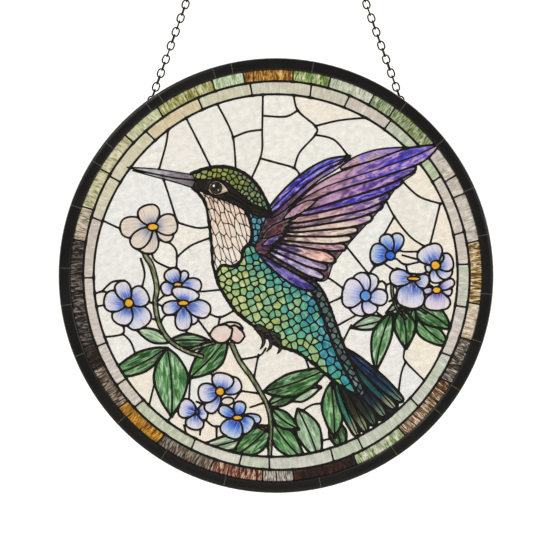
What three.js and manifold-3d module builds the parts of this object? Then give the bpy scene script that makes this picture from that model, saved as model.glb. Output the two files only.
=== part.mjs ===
// A round stained glass suncatcher: a leaded panel of opalescent glass in a dark metal rim, hung by two
// runs of black chain from one ring. A hummingbird drinks among five-petal blossoms, on a field of white
// glass inside two rings of border tiles.
//
// Units are millimetres. +Z is up and the panel's front looks towards -Y. The origin is in the eye of the
// hanging ring, at the place where a hook bears. The picture is drawn flat about the panel's centre, with
// x to the right and y up, and is then stood upright.

import * as THREE from 'three';
import { mergeVertices } from 'three/addons/utils/BufferGeometryUtils.js';
import Module from 'manifold-3d';

const wasm = await Module();
wasm.setup();

// ---------- driving dimensions ----------

const panelRadius = 150;
const rimWidth = 7.8;
const rimDepth = 8;
const rimEdge = 1.2;
const channelDepth = 2.8;
const glassThickness = 3;
const leadThickness = 4.2;
const leadWidth = 2;
const seam = 0.3;

const borderLine = 133.6;
const fieldRadius = 125.2;
const stepsAround = 36;
const smallestPane = 160;

const ringRadius = 7;
const ringWire = 2;
const linkLength = 7.2;
const linkWidth = 5.6;
const linkWire = 1.1;
const linksPerRun = 50;
const chainLean = THREE.MathUtils.degToRad(19.8);
const loopAngle = THREE.MathUtils.degToRad(36);
const loopPlace = 145.4;
const loopRadius = 2.6;
const loopWire = 1.4;
const loopHeight = 1;

// ---------- places worked out from them ----------

const rimInner = panelRadius - rimWidth;
const channelRadius = rimInner + channelDepth;
const halfLead = leadWidth / 2;
const chainBehind = rimDepth / 2 + loopHeight + loopRadius - loopWire / 2 - linkWire / 2 - seam;
const ringCentre = new THREE.Vector3(0, 0, ringWire / 2 - ringRadius);
const legOut = (loopPlace + loopRadius) * Math.sin(loopAngle);
const legUp = (loopPlace + loopRadius) * Math.cos(loopAngle);
const panelDrop = legOut / Math.tan(chainLean) + legUp - ringCentre.z;

// ---------- finishes ----------

const colours = {
  bill: '#b9b6c6',
  crown: '#97a044',
  cheek: '#1c1712',
  throat: '#f1dac8',
  neck: '#4a9cc0',
  belly: '#b2cb86',
  back: '#3fae9f',
  navy: '#16245a',
  tailBlack: '#15120f',
  tailTeal: '#1f6b6a',
  violet: '#4b3cc4',
  lavender: '#9f8ed0',
  mauve: '#9c7a9e',
  pink: '#d5aeb0',
  dusky: '#8b7482',
  indigo: '#3a3278',
  petal: '#a9b4e4',
  blush: '#ecd9cf',
  leaf: '#4c8a48',
  paleLeaf: '#86b18c',
  stem: '#a8b28a',
  field: '#eceae2',
  sage: '#b9c1a8',
  umber: '#6d4a26',
};

function glassOf(colour) {
  return new THREE.MeshStandardMaterial({
    color: colours[colour],
    roughness: 0.3,
    metalness: 0,
    transparent: true,
    opacity: 0.85,
  });
}

const leadFinish = new THREE.MeshStandardMaterial({ color: '#16110d', roughness: 0.5, metalness: 0.6 });
const rimFinish = new THREE.MeshStandardMaterial({ color: '#0b0909', roughness: 0.4, metalness: 0.5 });
const chainFinish = new THREE.MeshStandardMaterial({ color: '#141212', roughness: 0.4, metalness: 0.8 });

// ---------- outlines ----------

const at = (x, y) => new THREE.Vector2(x, y);
const onCircle = (radius, angle) => at(radius * Math.sin(angle), radius * Math.cos(angle));
const places = (...pairs) => pairs.map(([x, y]) => at(x, y));

function anticlockwise(corners) {
  return THREE.ShapeUtils.area(corners) > 0 ? corners : [...corners].reverse();
}

const outline = (...pairs) => anticlockwise(places(...pairs));

// The outline moved outwards by `distance`, or inwards where that is negative, with mitred corners.
function moved(corners, distance) {
  return corners.map((corner, index) => {
    const before = corners[(index + corners.length - 1) % corners.length];
    const after = corners[(index + 1) % corners.length];
    const arriving = corner.clone().sub(before).normalize();
    const leaving = after.clone().sub(corner).normalize();
    const outwards = at(arriving.y + leaving.y, -arriving.x - leaving.x).normalize();
    const reach = distance / Math.max(0.55, outwards.dot(at(leaving.y, -leaving.x)));
    return corner.clone().addScaledVector(outwards, reach);
  });
}

// A leaf or feather: a spine from root to tip that bows sideways, and half-widths at stations along it.
function blade(root, tip, bow, stations) {
  const along = tip.clone().sub(root);
  const across = at(-along.y, along.x).normalize();
  const spine = (t) => root.clone().addScaledVector(along, t).addScaledVector(across, 4 * bow * t * (1 - t));
  const side = (sign) => stations.map(([t, half]) => spine(t).addScaledVector(across, sign * half));
  return anticlockwise([spine(0), ...side(-1), spine(1), ...side(1).reverse()]);
}

const leaf = (root, tip, width, bow = 0) => blade(root, tip, bow,
  [[0.3, width * 0.44], [0.72, width * 0.42]]);

const feather = (root, tip, width, bow = 0) => blade(root, tip, bow,
  [[0.2, width * 0.34], [0.75, width * 0.5], [0.96, width * 0.26]]);

// A blossom of five petals, `wide` and `high` from its centre, turned clockwise by `turn` degrees.
function blossom(x, y, wide, high, turn) {
  const corners = [];
  for (let petal = 0; petal < 5; petal += 1) {
    for (const [swing, reach] of [[-36, 0.66], [-16, 0.98], [16, 0.98]]) {
      const angle = THREE.MathUtils.degToRad(turn + petal * 72 + swing);
      corners.push(at(x + wide * reach * Math.sin(angle), y + high * reach * Math.cos(angle)));
    }
  }
  return anticlockwise(corners);
}

// A ribbon of even width along a few places, for stems and for lead lines.
function ribbon(line, width) {
  const side = (sign) => line.map((place, index) => {
    const before = line[Math.max(index - 1, 0)];
    const after = line[Math.min(index + 1, line.length - 1)];
    const along = after.clone().sub(before).normalize();
    return place.clone().add(at(-along.y, along.x).multiplyScalar(sign * width / 2));
  });
  return anticlockwise([...side(-1), ...side(1).reverse()]);
}

function circle(radius) {
  const corners = [];
  for (let step = 0; step < stepsAround; step += 1) {
    corners.push(onCircle(radius, -2 * Math.PI * step / stepsAround));
  }
  return corners;
}

// ---------- the picture, each group from the piece on top to the piece beneath ----------

const head = [
  ['bird_crown', 'crown', outline([-59.5, 70], [-44, 74.6], [-28, 72.6], [-15, 63.5], [-3.5, 42],
    [-12, 45], [-24, 55.5], [-33, 64], [-44, 65])],
  ['bird_cheek', 'cheek', outline([-54, 61], [-44, 64.6], [-33, 64.5], [-24, 56], [-12, 45.5], [-5, 42],
    [-17, 42], [-38, 54.5])],
];

const wing = [
  ['wing_primary', 'mauve', feather(at(4, 43), at(112, 89.5), 15.5, 2.5)],
  ['wing_covert', 'violet', blade(at(-5.5, 46), at(50.5, 81.5), 4.2, [[0.3, 5], [0.8, 4]])],
  ['wing_feather_1', 'mauve', feather(at(2, 36), at(96, 74), 13)],
  ['wing_feather_2', 'violet', feather(at(-4, 32), at(87, 63.5), 15, -1)],
  ['wing_feather_3', 'dusky', feather(at(-10, 28), at(76, 47), 22, -3)],
  ['wing_feather_4', 'pink', feather(at(-12, 24), at(52, 20), 19, 2)],
  ['wing_feather_5', 'lavender', feather(at(-9, 20), at(37, 1), 18, 2)],
  ['wing_feather_6', 'indigo', blade(at(-12, 16), at(29, -8.5), -2.6, [[0.3, 4.8], [0.8, 4]])],
  ['wing_top_band', 'pink', blade(at(-5, 42), at(92, 86.5), 6, [[0.25, 7], [0.75, 6]])],
];

const body = [
  ['bird_bill', 'bill', outline([-102.5, 73.6], [-58, 69.8], [-53, 61.5], [-60, 59.8], [-100, 70.6])],
  ['bird_throat', 'throat', outline([-57, 60.5], [-45, 57.5], [-27, 49.6], [-19, 42.5], [-17, 28],
    [-29, 7], [-38, 8], [-41.5, -1], [-44, 24], [-49, 49])],
  ['bird_neck', 'neck', outline([-19, 44], [-2, 40], [-8, 22], [-18, 26])],
  ['bird_back', 'back', outline([-17, 26], [-6, 26], [8, -2], [29, -8], [41, -32], [48, -52], [60, -80],
    [54, -80], [14, -24], [-24, 16])],
  ['bird_belly', 'belly', outline([-42.5, 4], [-38, 6], [-30, 8], [-22, 18], [-8, 6], [16, -22], [54, -76],
    [33, -66.5], [15, -53], [-1, -48], [-28.5, -24], [-38, -10.5])],
];

const tail = [
  ['tail_upper', 'navy', blade(at(46, -44), at(85, -94), 1.5, [[0.1, 3.2], [0.6, 7], [0.95, 7.5]])],
  ['tail_middle', 'tailBlack', blade(at(44, -52), at(70, -110), 0, [[0.1, 9], [0.8, 11]])],
  ['tail_lower', 'tailTeal', blade(at(38, -66), at(56, -110), -1, [[0.1, 2.6], [0.8, 4.6]])],
];

const blossoms = [
  ['blossom_left_high', 'blush', blossom(-87, 32, 20.5, 17.5, 0)],
  ['blossom_left_blue', 'petal', blossom(-101.4, -19, 16.5, 17.5, 20)],
  ['blossom_left_front', 'petal', blossom(-62, -21, 16, 13.5, 0)],
  ['blossom_left_back', 'petal', blossom(-65, -6, 13.5, 12, 20)],
  ['blossom_right_blue', 'petal', blossom(77.5, 17.5, 13, 12, -20)],
  ['blossom_right_pale', 'petal', blossom(61, -12, 17, 15.5, 5)],
  ['blossom_right_low', 'petal', blossom(112, -12, 13, 12.5, 36)],
  ['blossom_right_high', 'petal', blossom(111, 7.5, 14, 13, 0)],
  ['blossom_right_back', 'petal', blossom(93, -8.5, 13, 14, 36)],
  ['blossom_low_right', 'petal', blossom(-27, -98, 15.5, 13.5, 10)],
  ['blossom_low_high', 'petal', blossom(-39, -79, 15.5, 12.5, 30)],
  ['blossom_low_left', 'petal', blossom(-54, -95, 12.5, 12.5, -10)],
  ['rose_bud', 'blush', blade(at(-36, -35), at(-20, -48), 0, [[0.2, 5], [0.8, 5]])],
];

const leaves = [
  ['leaf_left_low', 'leaf', leaf(at(-73, -43.5), at(-118, -67), 15, 2)],
  ['leaf_left_down', 'paleLeaf', leaf(at(-75, -43.5), at(-73, -92), 24)],
  ['leaf_left_right', 'leaf', leaf(at(-34, -44), at(-77, -50), 15, 5)],
  ['leaf_mid_high', 'leaf', leaf(at(-9.5, -81), at(37, -65), 15, -2.5)],
  ['leaf_mid_fold', 'leaf', leaf(at(-5, -89), at(18, -128), 27, -5)],
  ['leaf_low_left', 'leaf', leaf(at(-2, -104), at(-40, -118), 21, 1)],
  ['leaf_tail', 'leaf', leaf(at(35, -74), at(47, -118), 15, 2)],
  ['leaf_right_left', 'paleLeaf', leaf(at(79, -24), at(71, -58), 12, -1.5)],
  ['leaf_right_mid', 'leaf', leaf(at(90, -18), at(88, -52), 20)],
  ['leaf_right_far', 'paleLeaf', leaf(at(94, -19), at(128, -38), 21)],
];

const stems = [
  ['stem_left', 'stem', ribbon(places([-91, 20], [-83, 2], [-82.5, -22], [-76, -44]), 4)],
  ['stem_low', 'stem', ribbon(places([-28, -52], [-13, -74], [-5, -96], [-6, -128]), 3.6)],
];

// Lead lines across the field that tie a blossom to the rest of the net.
const fieldLines = [
  places([-52, -14], [-38, -8]),
  places([-90, -20], [-80, -22]),
  places([68, 2], [72, 12]),
  places([88, 14], [98, 11]),
];

// ---------- solids ----------

const blockHeight = 20;

function solidFrom(geometry) {
  const plain = geometry.clone();
  plain.deleteAttribute('normal');
  plain.deleteAttribute('uv');
  const merged = mergeVertices(plain, 1e-4);
  return new wasm.Manifold(new wasm.Mesh({
    numProp: 3,
    vertProperties: Float32Array.from(merged.attributes.position.array),
    triVerts: Uint32Array.from(merged.index.array),
  }));
}

function geometryFrom(solid) {
  const mesh = solid.getMesh();
  const geometry = new THREE.BufferGeometry();
  geometry.setAttribute('position', new THREE.BufferAttribute(Float32Array.from(mesh.vertProperties), 3));
  geometry.setIndex(new THREE.BufferAttribute(Uint32Array.from(mesh.triVerts), 1));
  geometry.computeVertexNormals();
  return geometry;
}

// A flat plate of an outline, half in front of the panel's middle plane and half behind it.
function plate(corners, thickness) {
  const geometry = new THREE.ExtrudeGeometry(new THREE.Shape(corners), {
    depth: thickness,
    bevelEnabled: false,
  });
  geometry.translate(0, 0, -thickness / 2);
  return solidFrom(geometry);
}

const block = (corners) => plate(corners, blockHeight);
const disc = (radius) => block(circle(radius));
const without = (solid, covers) => covers.reduce((rest, cover) => rest.subtract(cover), solid);
const area = (solid) => solid.volume() / blockHeight;

function largest(solid) {
  return solid.decompose().reduce((best, part) => (area(part) > area(best) ? part : best));
}

// Every shape below is asked for twice. With no `slack` it is the glass itself. With the seam as slack it
// is the opening that the glass sits in, and the lead is what the openings leave of a disc.

const covering = (corners, slack) => block(moved(corners, halfLead - slack));
const coverings = (pieces, slack) => pieces.map(([, , corners]) => covering(corners, slack));

function pieceShape(corners, above, slack) {
  return largest(without(block(moved(corners, slack - halfLead)), coverings(above, slack)));
}

// The tiles of a border are fused into one ring, which the wing's tip parts.
function borderShape(inner, outer, slack) {
  return largest(without(disc(outer + slack).subtract(disc(inner - slack)), coverings(wing, slack)));
}

function fieldShape(pieces, slack) {
  const lines = fieldLines.map((line) => block(ribbon(line, leadWidth - 2 * slack)));
  return without(disc(fieldRadius - halfLead + slack), [...coverings(pieces, slack), ...lines]);
}

// Panes are told apart by where their middles lie round the panel, clockwise from the top.
function clockwise(panes) {
  const turn = (pane) => {
    const { min, max } = pane.boundingBox();
    return (Math.atan2(min[0] + max[0], min[1] + max[1]) + 2 * Math.PI) % (2 * Math.PI);
  };
  return [...panes].sort((one, other) => turn(one) - turn(other));
}

// ---------- the panel ----------

const suncatcher = new THREE.Group();
const panel = new THREE.Group();
panel.rotation.x = Math.PI / 2;
panel.position.z = -panelDrop;
suncatcher.add(panel);

function addPiece(parent, name, geometry, finish) {
  const mesh = new THREE.Mesh(geometry, finish);
  mesh.name = name;
  parent.add(mesh);
}

const openings = [];
const sheet = plate(circle(panelRadius), glassThickness);

function addGlass(name, colour, shapeWith) {
  addPiece(panel, name, geometryFrom(shapeWith(0).intersect(sheet)), glassOf(colour));
  openings.push(shapeWith(seam));
}

const overBorders = [...head, ...wing];
const underBorders = [...body, ...tail, ...blossoms, ...stems, ...leaves];
const picture = [...overBorders, ...underBorders];

picture.forEach(([name, colour, corners], index) => {
  const above = picture.slice(0, index);
  const bound = index < overBorders.length ? channelRadius - seam : fieldRadius - halfLead;
  addGlass(name, colour, (slack) => pieceShape(corners, above, slack).intersect(disc(bound + slack)));
});

addGlass('border_outer', 'umber',
  (slack) => borderShape(borderLine + halfLead, channelRadius - seam, slack));
addGlass('border_inner', 'sage',
  (slack) => borderShape(fieldRadius + halfLead, borderLine - halfLead, slack));

const panes = (slack) => fieldShape(picture, slack).decompose().filter((pane) => area(pane) > smallestPane);

clockwise(panes(0)).forEach((pane, index) => {
  addPiece(panel, `field_pane_${index + 1}`, geometryFrom(pane.intersect(sheet)), glassOf('field'));
});
openings.push(...panes(seam));

const leadDisc = plate(circle(rimInner - seam), leadThickness);
addPiece(panel, 'lead_lines', geometryFrom(largest(without(leadDisc, openings))), leadFinish);

// ---------- the rim: a channel of black metal bent round the panel ----------

function rimGeometry() {
  const half = rimDepth / 2;
  const mouth = glassThickness / 2 + seam;
  const profile = places(
    [rimInner, mouth], [channelRadius, mouth], [channelRadius, -mouth], [rimInner, -mouth],
    [rimInner, -half], [panelRadius - rimEdge, -half], [panelRadius, rimEdge - half],
    [panelRadius, half - rimEdge], [panelRadius - rimEdge, half], [rimInner, half], [rimInner, mouth],
  );
  const geometry = new THREE.LatheGeometry(profile, stepsAround);
  geometry.rotateX(Math.PI / 2);
  return geometryFrom(solidFrom(geometry));
}

addPiece(panel, 'frame_rim', rimGeometry(), rimFinish);

// ---------- the hanging: ring, chain and the two loops soldered on the rim's back ----------

addPiece(suncatcher, 'hanging_ring', (() => {
  const geometry = new THREE.TorusGeometry(ringRadius, ringWire / 2, 6, 12);
  geometry.rotateX(Math.PI / 2);
  geometry.translate(...ringCentre.toArray());
  return geometryFrom(solidFrom(geometry));
})(), chainFinish);

// An oval link is a small torus pulled out lengthwise. Its round wire shows an edge to the inside.
function linkSolid(turn) {
  const middleWidth = linkWidth - linkWire;
  const geometry = new THREE.TorusGeometry(middleWidth * Math.SQRT1_2, -linkWire * Math.SQRT1_2, 3, 4);
  geometry.rotateZ(Math.PI / 4);
  geometry.scale(1, 1, Math.SQRT1_2);
  const corners = geometry.attributes.position;
  for (let index = 0; index < corners.count; index += 1) {
    const y = corners.getY(index);
    corners.setY(index, y + Math.sign(y) * (linkLength - linkWidth) / 2);
  }
  geometry.rotateY(turn);
  return solidFrom(geometry);
}

function chainGeometry(side) {
  const leg = new THREE.Vector3(side * legOut, chainBehind, legUp - panelDrop);
  const down = leg.clone().sub(ringCentre).normalize();
  const firstEnd = ringRadius - ringWire / 2 - linkWire / 2 - seam;
  const lastEnd = leg.distanceTo(ringCentre) + loopWire / 2 + linkWire / 2 + seam;
  const reach = (linkLength - linkWire) / 2;
  const pitch = (lastEnd - firstEnd - 2 * reach) / (linksPerRun - 1);
  const faceOn = linkSolid(0);
  const edgeOn = linkSolid(Math.PI / 2);
  let run = edgeOn;
  for (let link = 1; link < linksPerRun; link += 1) {
    run = run.add((link % 2 ? faceOn : edgeOn).translate([0, link * pitch, 0]));
  }
  const geometry = geometryFrom(run);
  const across = new THREE.Vector3(0, 1, 0).cross(down).normalize();
  const turned = new THREE.Matrix4().makeBasis(across, down, across.clone().cross(down));
  geometry.applyMatrix4(turned);
  geometry.translate(...ringCentre.clone().addScaledVector(down, firstEnd + reach).toArray());
  return geometry;
}

// A loop is a staple of wire whose two legs stand on the rim's back, one nearer its edge.
function loopGeometry(side) {
  const outwards = new THREE.Vector3(side * Math.sin(loopAngle), 0, Math.cos(loopAngle));
  const foot = rimDepth / 2 + seam;
  const on = (along, behind) => outwards.clone().multiplyScalar(loopPlace + along).setY(foot + behind);
  const slant = loopRadius * Math.SQRT1_2;
  const path = new THREE.CatmullRomCurve3([
    on(-loopRadius, 0), on(-loopRadius, loopHeight), on(-slant, loopHeight + slant),
    on(0, loopHeight + loopRadius),
    on(slant, loopHeight + slant), on(loopRadius, loopHeight), on(loopRadius, 0),
  ]);
  const section = new THREE.Shape();
  section.absarc(0, 0, loopWire / 2, 0, 2 * Math.PI);
  const geometry = new THREE.ExtrudeGeometry(section, { steps: 6, curveSegments: 3, extrudePath: path });
  geometry.translate(0, 0, -panelDrop);
  return geometryFrom(solidFrom(geometry));
}

for (const [name, side] of [['left', -1], ['right', 1]]) {
  addPiece(suncatcher, `chain_${name}`, chainGeometry(side), chainFinish);
  addPiece(suncatcher, `chain_loop_${name}`, loopGeometry(side), chainFinish);
}

export default suncatcher;
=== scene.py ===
# A round stained glass suncatcher, dressed over its fixed frame: every piece of glass is cut, domed and
# streaked, every lead line is a soldered bead, and the rim, ring and chain are finished in black.
#
# The picture is drawn in millimetres about the panel's centre, with x to the right and y up, as its maker
# would draw it on paper, and is then stood upright in the frame.

import math
import random

import bpy
from mathutils import Matrix, Vector, kdtree, noise
from mathutils.geometry import delaunay_2d_cdt


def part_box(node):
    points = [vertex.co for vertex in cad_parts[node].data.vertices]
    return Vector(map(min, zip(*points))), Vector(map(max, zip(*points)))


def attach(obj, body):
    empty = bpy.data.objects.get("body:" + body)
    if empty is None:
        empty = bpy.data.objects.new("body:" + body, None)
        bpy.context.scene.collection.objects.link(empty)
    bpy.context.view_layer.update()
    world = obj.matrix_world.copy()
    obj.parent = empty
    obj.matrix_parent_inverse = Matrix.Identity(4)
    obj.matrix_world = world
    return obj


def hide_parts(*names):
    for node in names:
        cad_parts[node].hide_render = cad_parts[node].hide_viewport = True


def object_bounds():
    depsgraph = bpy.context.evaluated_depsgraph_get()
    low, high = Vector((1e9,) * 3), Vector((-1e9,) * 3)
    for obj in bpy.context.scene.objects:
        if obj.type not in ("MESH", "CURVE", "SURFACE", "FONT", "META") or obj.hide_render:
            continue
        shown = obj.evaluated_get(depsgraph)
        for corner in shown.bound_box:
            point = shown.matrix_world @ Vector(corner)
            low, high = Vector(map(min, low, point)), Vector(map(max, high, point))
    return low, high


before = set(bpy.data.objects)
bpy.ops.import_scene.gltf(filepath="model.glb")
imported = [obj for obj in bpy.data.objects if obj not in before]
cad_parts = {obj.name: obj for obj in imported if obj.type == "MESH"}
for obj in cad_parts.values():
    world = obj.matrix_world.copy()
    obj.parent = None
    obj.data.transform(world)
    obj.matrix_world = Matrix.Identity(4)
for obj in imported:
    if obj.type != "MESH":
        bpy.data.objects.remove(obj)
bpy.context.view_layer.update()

# ---------- sizes, in millimetres ----------

MM = 0.001
GLASS_HALF = 1.5
DOME = 0.45
CLEARANCE = 0.06
STEP = 1.3
GRAIN = 2.1

RIM_OUTER = 150.0
RIM_INNER = 142.2
RIM_HALF = 4.0
CHANNEL = 144.6
BORDER_LINE = 133.6
FIELD_EDGE = 125.2

low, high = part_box("frame_rim")
CENTRE_Z = (low[2] + high[2]) / 2

luck = random.Random(7)

# ---------- colours ----------


def linear(code):
    """An sRGB hex colour as linear light."""
    values = [int(code[i:i + 2], 16) / 255 for i in (1, 3, 5)]
    return tuple(v / 12.92 if v <= 0.04045 else ((v + 0.055) / 1.055) ** 2.4 for v in values)


def between(one, other, t):
    t = min(max(t, 0.0), 1.0)
    return tuple(a + (b - a) * t for a, b in zip(one, other))


def ramp(codes, t):
    """A colour part of the way along a row of hex colours."""
    t = min(max(t, 0.0), 0.9999) * (len(codes) - 1)
    return between(linear(codes[int(t)]), linear(codes[int(t) + 1]), t - int(t))


# ---------- drawing ----------


def smooth(points, closed=False, step=STEP):
    """An even run of places on a soft curve through the given ones."""
    count = len(points)
    out = []
    for index in range(count if closed else count - 1):
        if closed:
            four = [points[(index + k) % count] for k in (-1, 0, 1, 2)]
        else:
            four = [points[min(max(index + k, 0), count - 1)] for k in (-1, 0, 1, 2)]
        a, b, c, d = (Vector(p) for p in four)
        pieces = max(1, round((c - b).length / step))
        for piece in range(pieces):
            t = piece / pieces
            out.append(0.5 * (2 * b + (c - a) * t + (2 * a - 5 * b + 4 * c - d) * t * t
                              + (3 * b - a - 3 * c + d) * t ** 3))
    if not closed:
        out.append(Vector(points[-1]))
    return out


def sides(*runs):
    """A closed outline of soft curves that meet at corners."""
    out = []
    for index, run in enumerate(runs):
        following = runs[(index + 1) % len(runs)][0]
        out += smooth(list(run) + ([following] if run[-1] != following else []))[:-1]
    return out


def ellipse(x, y, wide, high_, turn=0.0, step=STEP):
    count = max(8, round(math.pi * (wide + high_) / step))
    spin = Matrix.Rotation(math.radians(turn), 2)
    return [Vector((x, y)) + spin @ Vector((wide * math.cos(2 * math.pi * i / count),
                                            high_ * math.sin(2 * math.pi * i / count)))
            for i in range(count)]


def polar(radius, degrees):
    """A place on a circle, clockwise from the top."""
    angle = math.radians(degrees)
    return Vector((radius * math.sin(angle), radius * math.cos(angle)))


def blade(root, tip, bow, stations, blunt=0.0):
    """A leaf or feather outline: a bowed spine, with half-widths on its left and right at stations."""
    root, tip = Vector(root), Vector(tip)
    along = tip - root
    across = Vector((-along.y, along.x)).normalized()

    def spine(t):
        return root + along * t + across * (4 * bow * t * (1 - t))

    left = [spine(t) + across * l for t, l, r in stations]
    right = [spine(t) - across * r for t, l, r in stations]
    end = [spine(1)]
    if blunt:
        end = [spine(1 - 0.3 * blunt / along.length) + across * blunt * 0.5, spine(1),
               spine(1 - 0.3 * blunt / along.length) - across * blunt * 0.5]
        return sides([spine(0)] + left + end + right[::-1] + [spine(0)]), spine
    return sides([spine(0)] + left + [spine(1)], [spine(1)] + right[::-1] + [spine(0)]), spine


# Every pane of the picture, from the one on top to the one beneath. A pane is clipped to the field unless
# it lies over the borders, as the wing does.
panes = []
scores = []


def pane(piece, outline, tint, wisp, lead=1.7, grain=(1, 0), over=False, bleed=0.0, flat=True, flow=None,
         deep=0.4):
    """Lays a pane of one glass into the picture. Tint, wisp and deep are its middle, light and dark colours,
    as hex or functions. A number for deep is a share of the tint."""
    if sum(a.cross(b) for a, b in zip(outline, outline[1:] + outline[:1])) < 0:
        outline = outline[::-1]
    panes.append({
        "piece": piece, "outline": outline, "tint": tint, "wisp": wisp, "lead": lead,
        "grain": Vector(grain).normalized(), "over": over, "bleed": bleed, "flat": flat, "flow": flow,
        "deep": deep,
    })
    return len(panes) - 1


def score(owner, points, width, soft=True):
    """A lead line across a pane."""
    scores.append((owner, smooth(points) if soft else [Vector(p) for p in points], width))


def mosaic(owner, seeds, width, stretch=1.0, turn=0.0):
    """Lead lines round every seed, half-way to its neighbours. Stretched cells are long along `turn`."""
    spin = Matrix.Rotation(-math.radians(turn), 2)
    back = Matrix.Rotation(math.radians(turn), 2)
    flat = [spin @ Vector(s) for s in seeds]
    flat = [Vector((p.x / stretch, p.y)) for p in flat]
    verts, edges, faces, *_ = delaunay_2d_cdt(flat, [], [], 0, 1e-4)
    centres = []
    for a, b, c in faces:
        pa, pb, pc = verts[a], verts[b], verts[c]
        d = 2 * ((pb - pa).cross(pc - pa))
        ab, ac = pb - pa, pc - pa
        if abs(d) < 1e-6:
            centres.append(None)
            continue
        ux = (ac.y * ab.length_squared - ab.y * ac.length_squared) / d
        uy = (ab.x * ac.length_squared - ac.x * ab.length_squared) / d
        centres.append(pa + Vector((ux, uy)))
    shared = {}
    for index, face in enumerate(faces):
        for k in range(3):
            key = tuple(sorted((face[k], face[(k + 1) % 3])))
            shared.setdefault(key, []).append(index)
    for pair in shared.values():
        if len(pair) != 2 or centres[pair[0]] is None or centres[pair[1]] is None:
            continue
        ends = [back @ Vector((centres[i].x * stretch, centres[i].y)) for i in pair]
        if 0.25 < (ends[0] - ends[1]).length < 30:
            scores.append((owner, ends, width))
        elif (ends[0] - ends[1]).length <= 0.25:
            scores.append((owner, ends, width))


# ---------- the bird's head ----------

pane("bird_eye", ellipse(-42.9, 61.9, 0.9, 1.0), "#FFFFFF", "#FFFFFF", lead=0.2, over=True, deep=1)
pane("bird_eye", ellipse(-39.8, 58.9, 0.6, 0.5), "#F4EFE8", "#FFFFFF", lead=0.2, over=True, deep=1)
pane("bird_eye", ellipse(-41.2, 60.4, 4.0, 4.0), "#0E0806", "#2A150A", lead=0.6, over=True)
lid = sides([(-47.0, 58.6), (-45.4, 63.6), (-40.8, 65.6), (-35.6, 62.6), (-32.4, 58.0)],
            [(-32.4, 58.0), (-36.5, 56.4), (-40.8, 55.3), (-44.6, 56.0), (-47.0, 58.6)])
pane("bird_eye", lid, "#B9A58C", "#E9DCCB", lead=1.2, over=True)

upper_bill = sides([(-103, 74.6), (-84, 73.6), (-68, 71.2), (-57.5, 69.6)],
                   [(-57.5, 69.6), (-55.5, 65.8)],
                   [(-55.5, 65.8), (-70, 67.4), (-86, 70.6), (-103, 74.6)])
lower_bill = sides([(-99, 72.4), (-86, 70.4), (-70, 67.2), (-55.5, 65.6)],
                   [(-55.5, 65.6), (-57.5, 60.5)],
                   [(-57.5, 60.5), (-70, 64.5), (-84, 68.2), (-99, 72.4)])


def bill_colour(x, y, chance):
    return ramp(["#D9D5DC", "#B4AFBE", "#8E8894", "#5E5356"], (x + 100) / 46)


pane("bird_bill", upper_bill, bill_colour, "#E9E5EC", lead=1.0, grain=(1, -0.15), over=True, flat=False)
pane("bird_bill", lower_bill, bill_colour, "#7E7680", lead=1.0, grain=(1, -0.15), over=True, flat=False)

cheek_line = [(-57.5, 60.2), (-49.5, 57.5), (-40, 53.2), (-30, 49.8), (-20, 44.2), (-11.5, 40.5)]
cheek = sides([(-56.5, 66.8), (-50, 65.2), (-44, 66.4), (-35, 64.6), (-26, 57.6), (-17, 50.2), (-8, 45.8),
               (-3.5, 40.5)],
              [(-3.5, 40.5), (-11.5, 40.5)], cheek_line[::-1])
cheek_pane = pane("bird_cheek", cheek, "#17100C", "#3A2A20", lead=1.0, grain=(1, -0.5), over=True,
                  bleed=-0.05)
score(cheek_pane, [(-33, 58), (-24, 52.5), (-14, 46.5), (-4, 43.5)], 0.7)
score(cheek_pane, [(-36, 56), (-27, 51.5), (-18, 46)], 0.6)

crown = sides([(-58.5, 70.2), (-50, 73.4), (-38, 75.2), (-27, 73.0), (-18.5, 68.0), (-11.5, 60.2),
               (-6.5, 51.0), (-3, 41.5)],
              [(-3, 41.5), (-8, 45.4), (-17, 49.6), (-26, 57.0), (-35, 64.2), (-44, 66.0), (-50, 64.8),
               (-56.5, 66.6)])


def crown_colour(x, y, chance):
    return ramp(["#8E8A4E", "#9AA24E", "#8C9A3C", "#7C8C34", "#6E8040", "#4E7A5E"], (x + 56) / 52 + chance * 0.3)


crown_pane = pane("bird_crown", crown, crown_colour, "#C3C77C", lead=2.0, grain=(1, -0.6), over=True)


def rows(first, last, spacing, across, wobble=0.12, growth=0.0):
    """Seeds in staggered rows down a band between two curves, closer at the start where `growth` is more."""
    one, other = smooth(first, step=0.5), smooth(last, step=0.5)
    seeds = []
    travelled, odd = 0.0, False
    length = sum((one[i + 1] - one[i]).length for i in range(len(one) - 1))
    while travelled <= length * 1.02:
        t = travelled / length
        a = one[min(int(t * (len(one) - 1)), len(one) - 1)]
        b = other[min(int(t * (len(other) - 1)), len(other) - 1)]
        size = across * (1 + growth * t)
        count = max(1, round((b - a).length / size))
        for k in range(-1, count + 2):
            place = a + (b - a) * ((k + (0.5 if odd else 0.0)) / count)
            jitter = Vector((luck.uniform(-1, 1), luck.uniform(-1, 1))) * wobble * size
            seeds.append(place + jitter)
        travelled += spacing * (1 + growth * t)
        odd = not odd
    return seeds


mosaic(crown_pane, rows([(-60, 74), (-40, 79), (-24, 76), (-12, 65), (-4, 54), (2, 40)],
                        [(-58, 62), (-44, 62), (-33, 60), (-24, 52), (-15, 45), (-8, 36)], 4.0, 3.9, 0.26), 0.9)

# ---------- the wing, fanned from its root ----------

VIOLET = ["#3A2BB0", "#4636C8", "#5B4CD6", "#8C7BDD"]
MAUVE = ["#5E3A62", "#8A5F92", "#9C7A9E", "#8A6CC0", "#5B4CD6"]
PINK = ["#6A4258", "#B98A96", "#D9B0AE", "#C79CC0", "#8C6FC6"]


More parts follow.
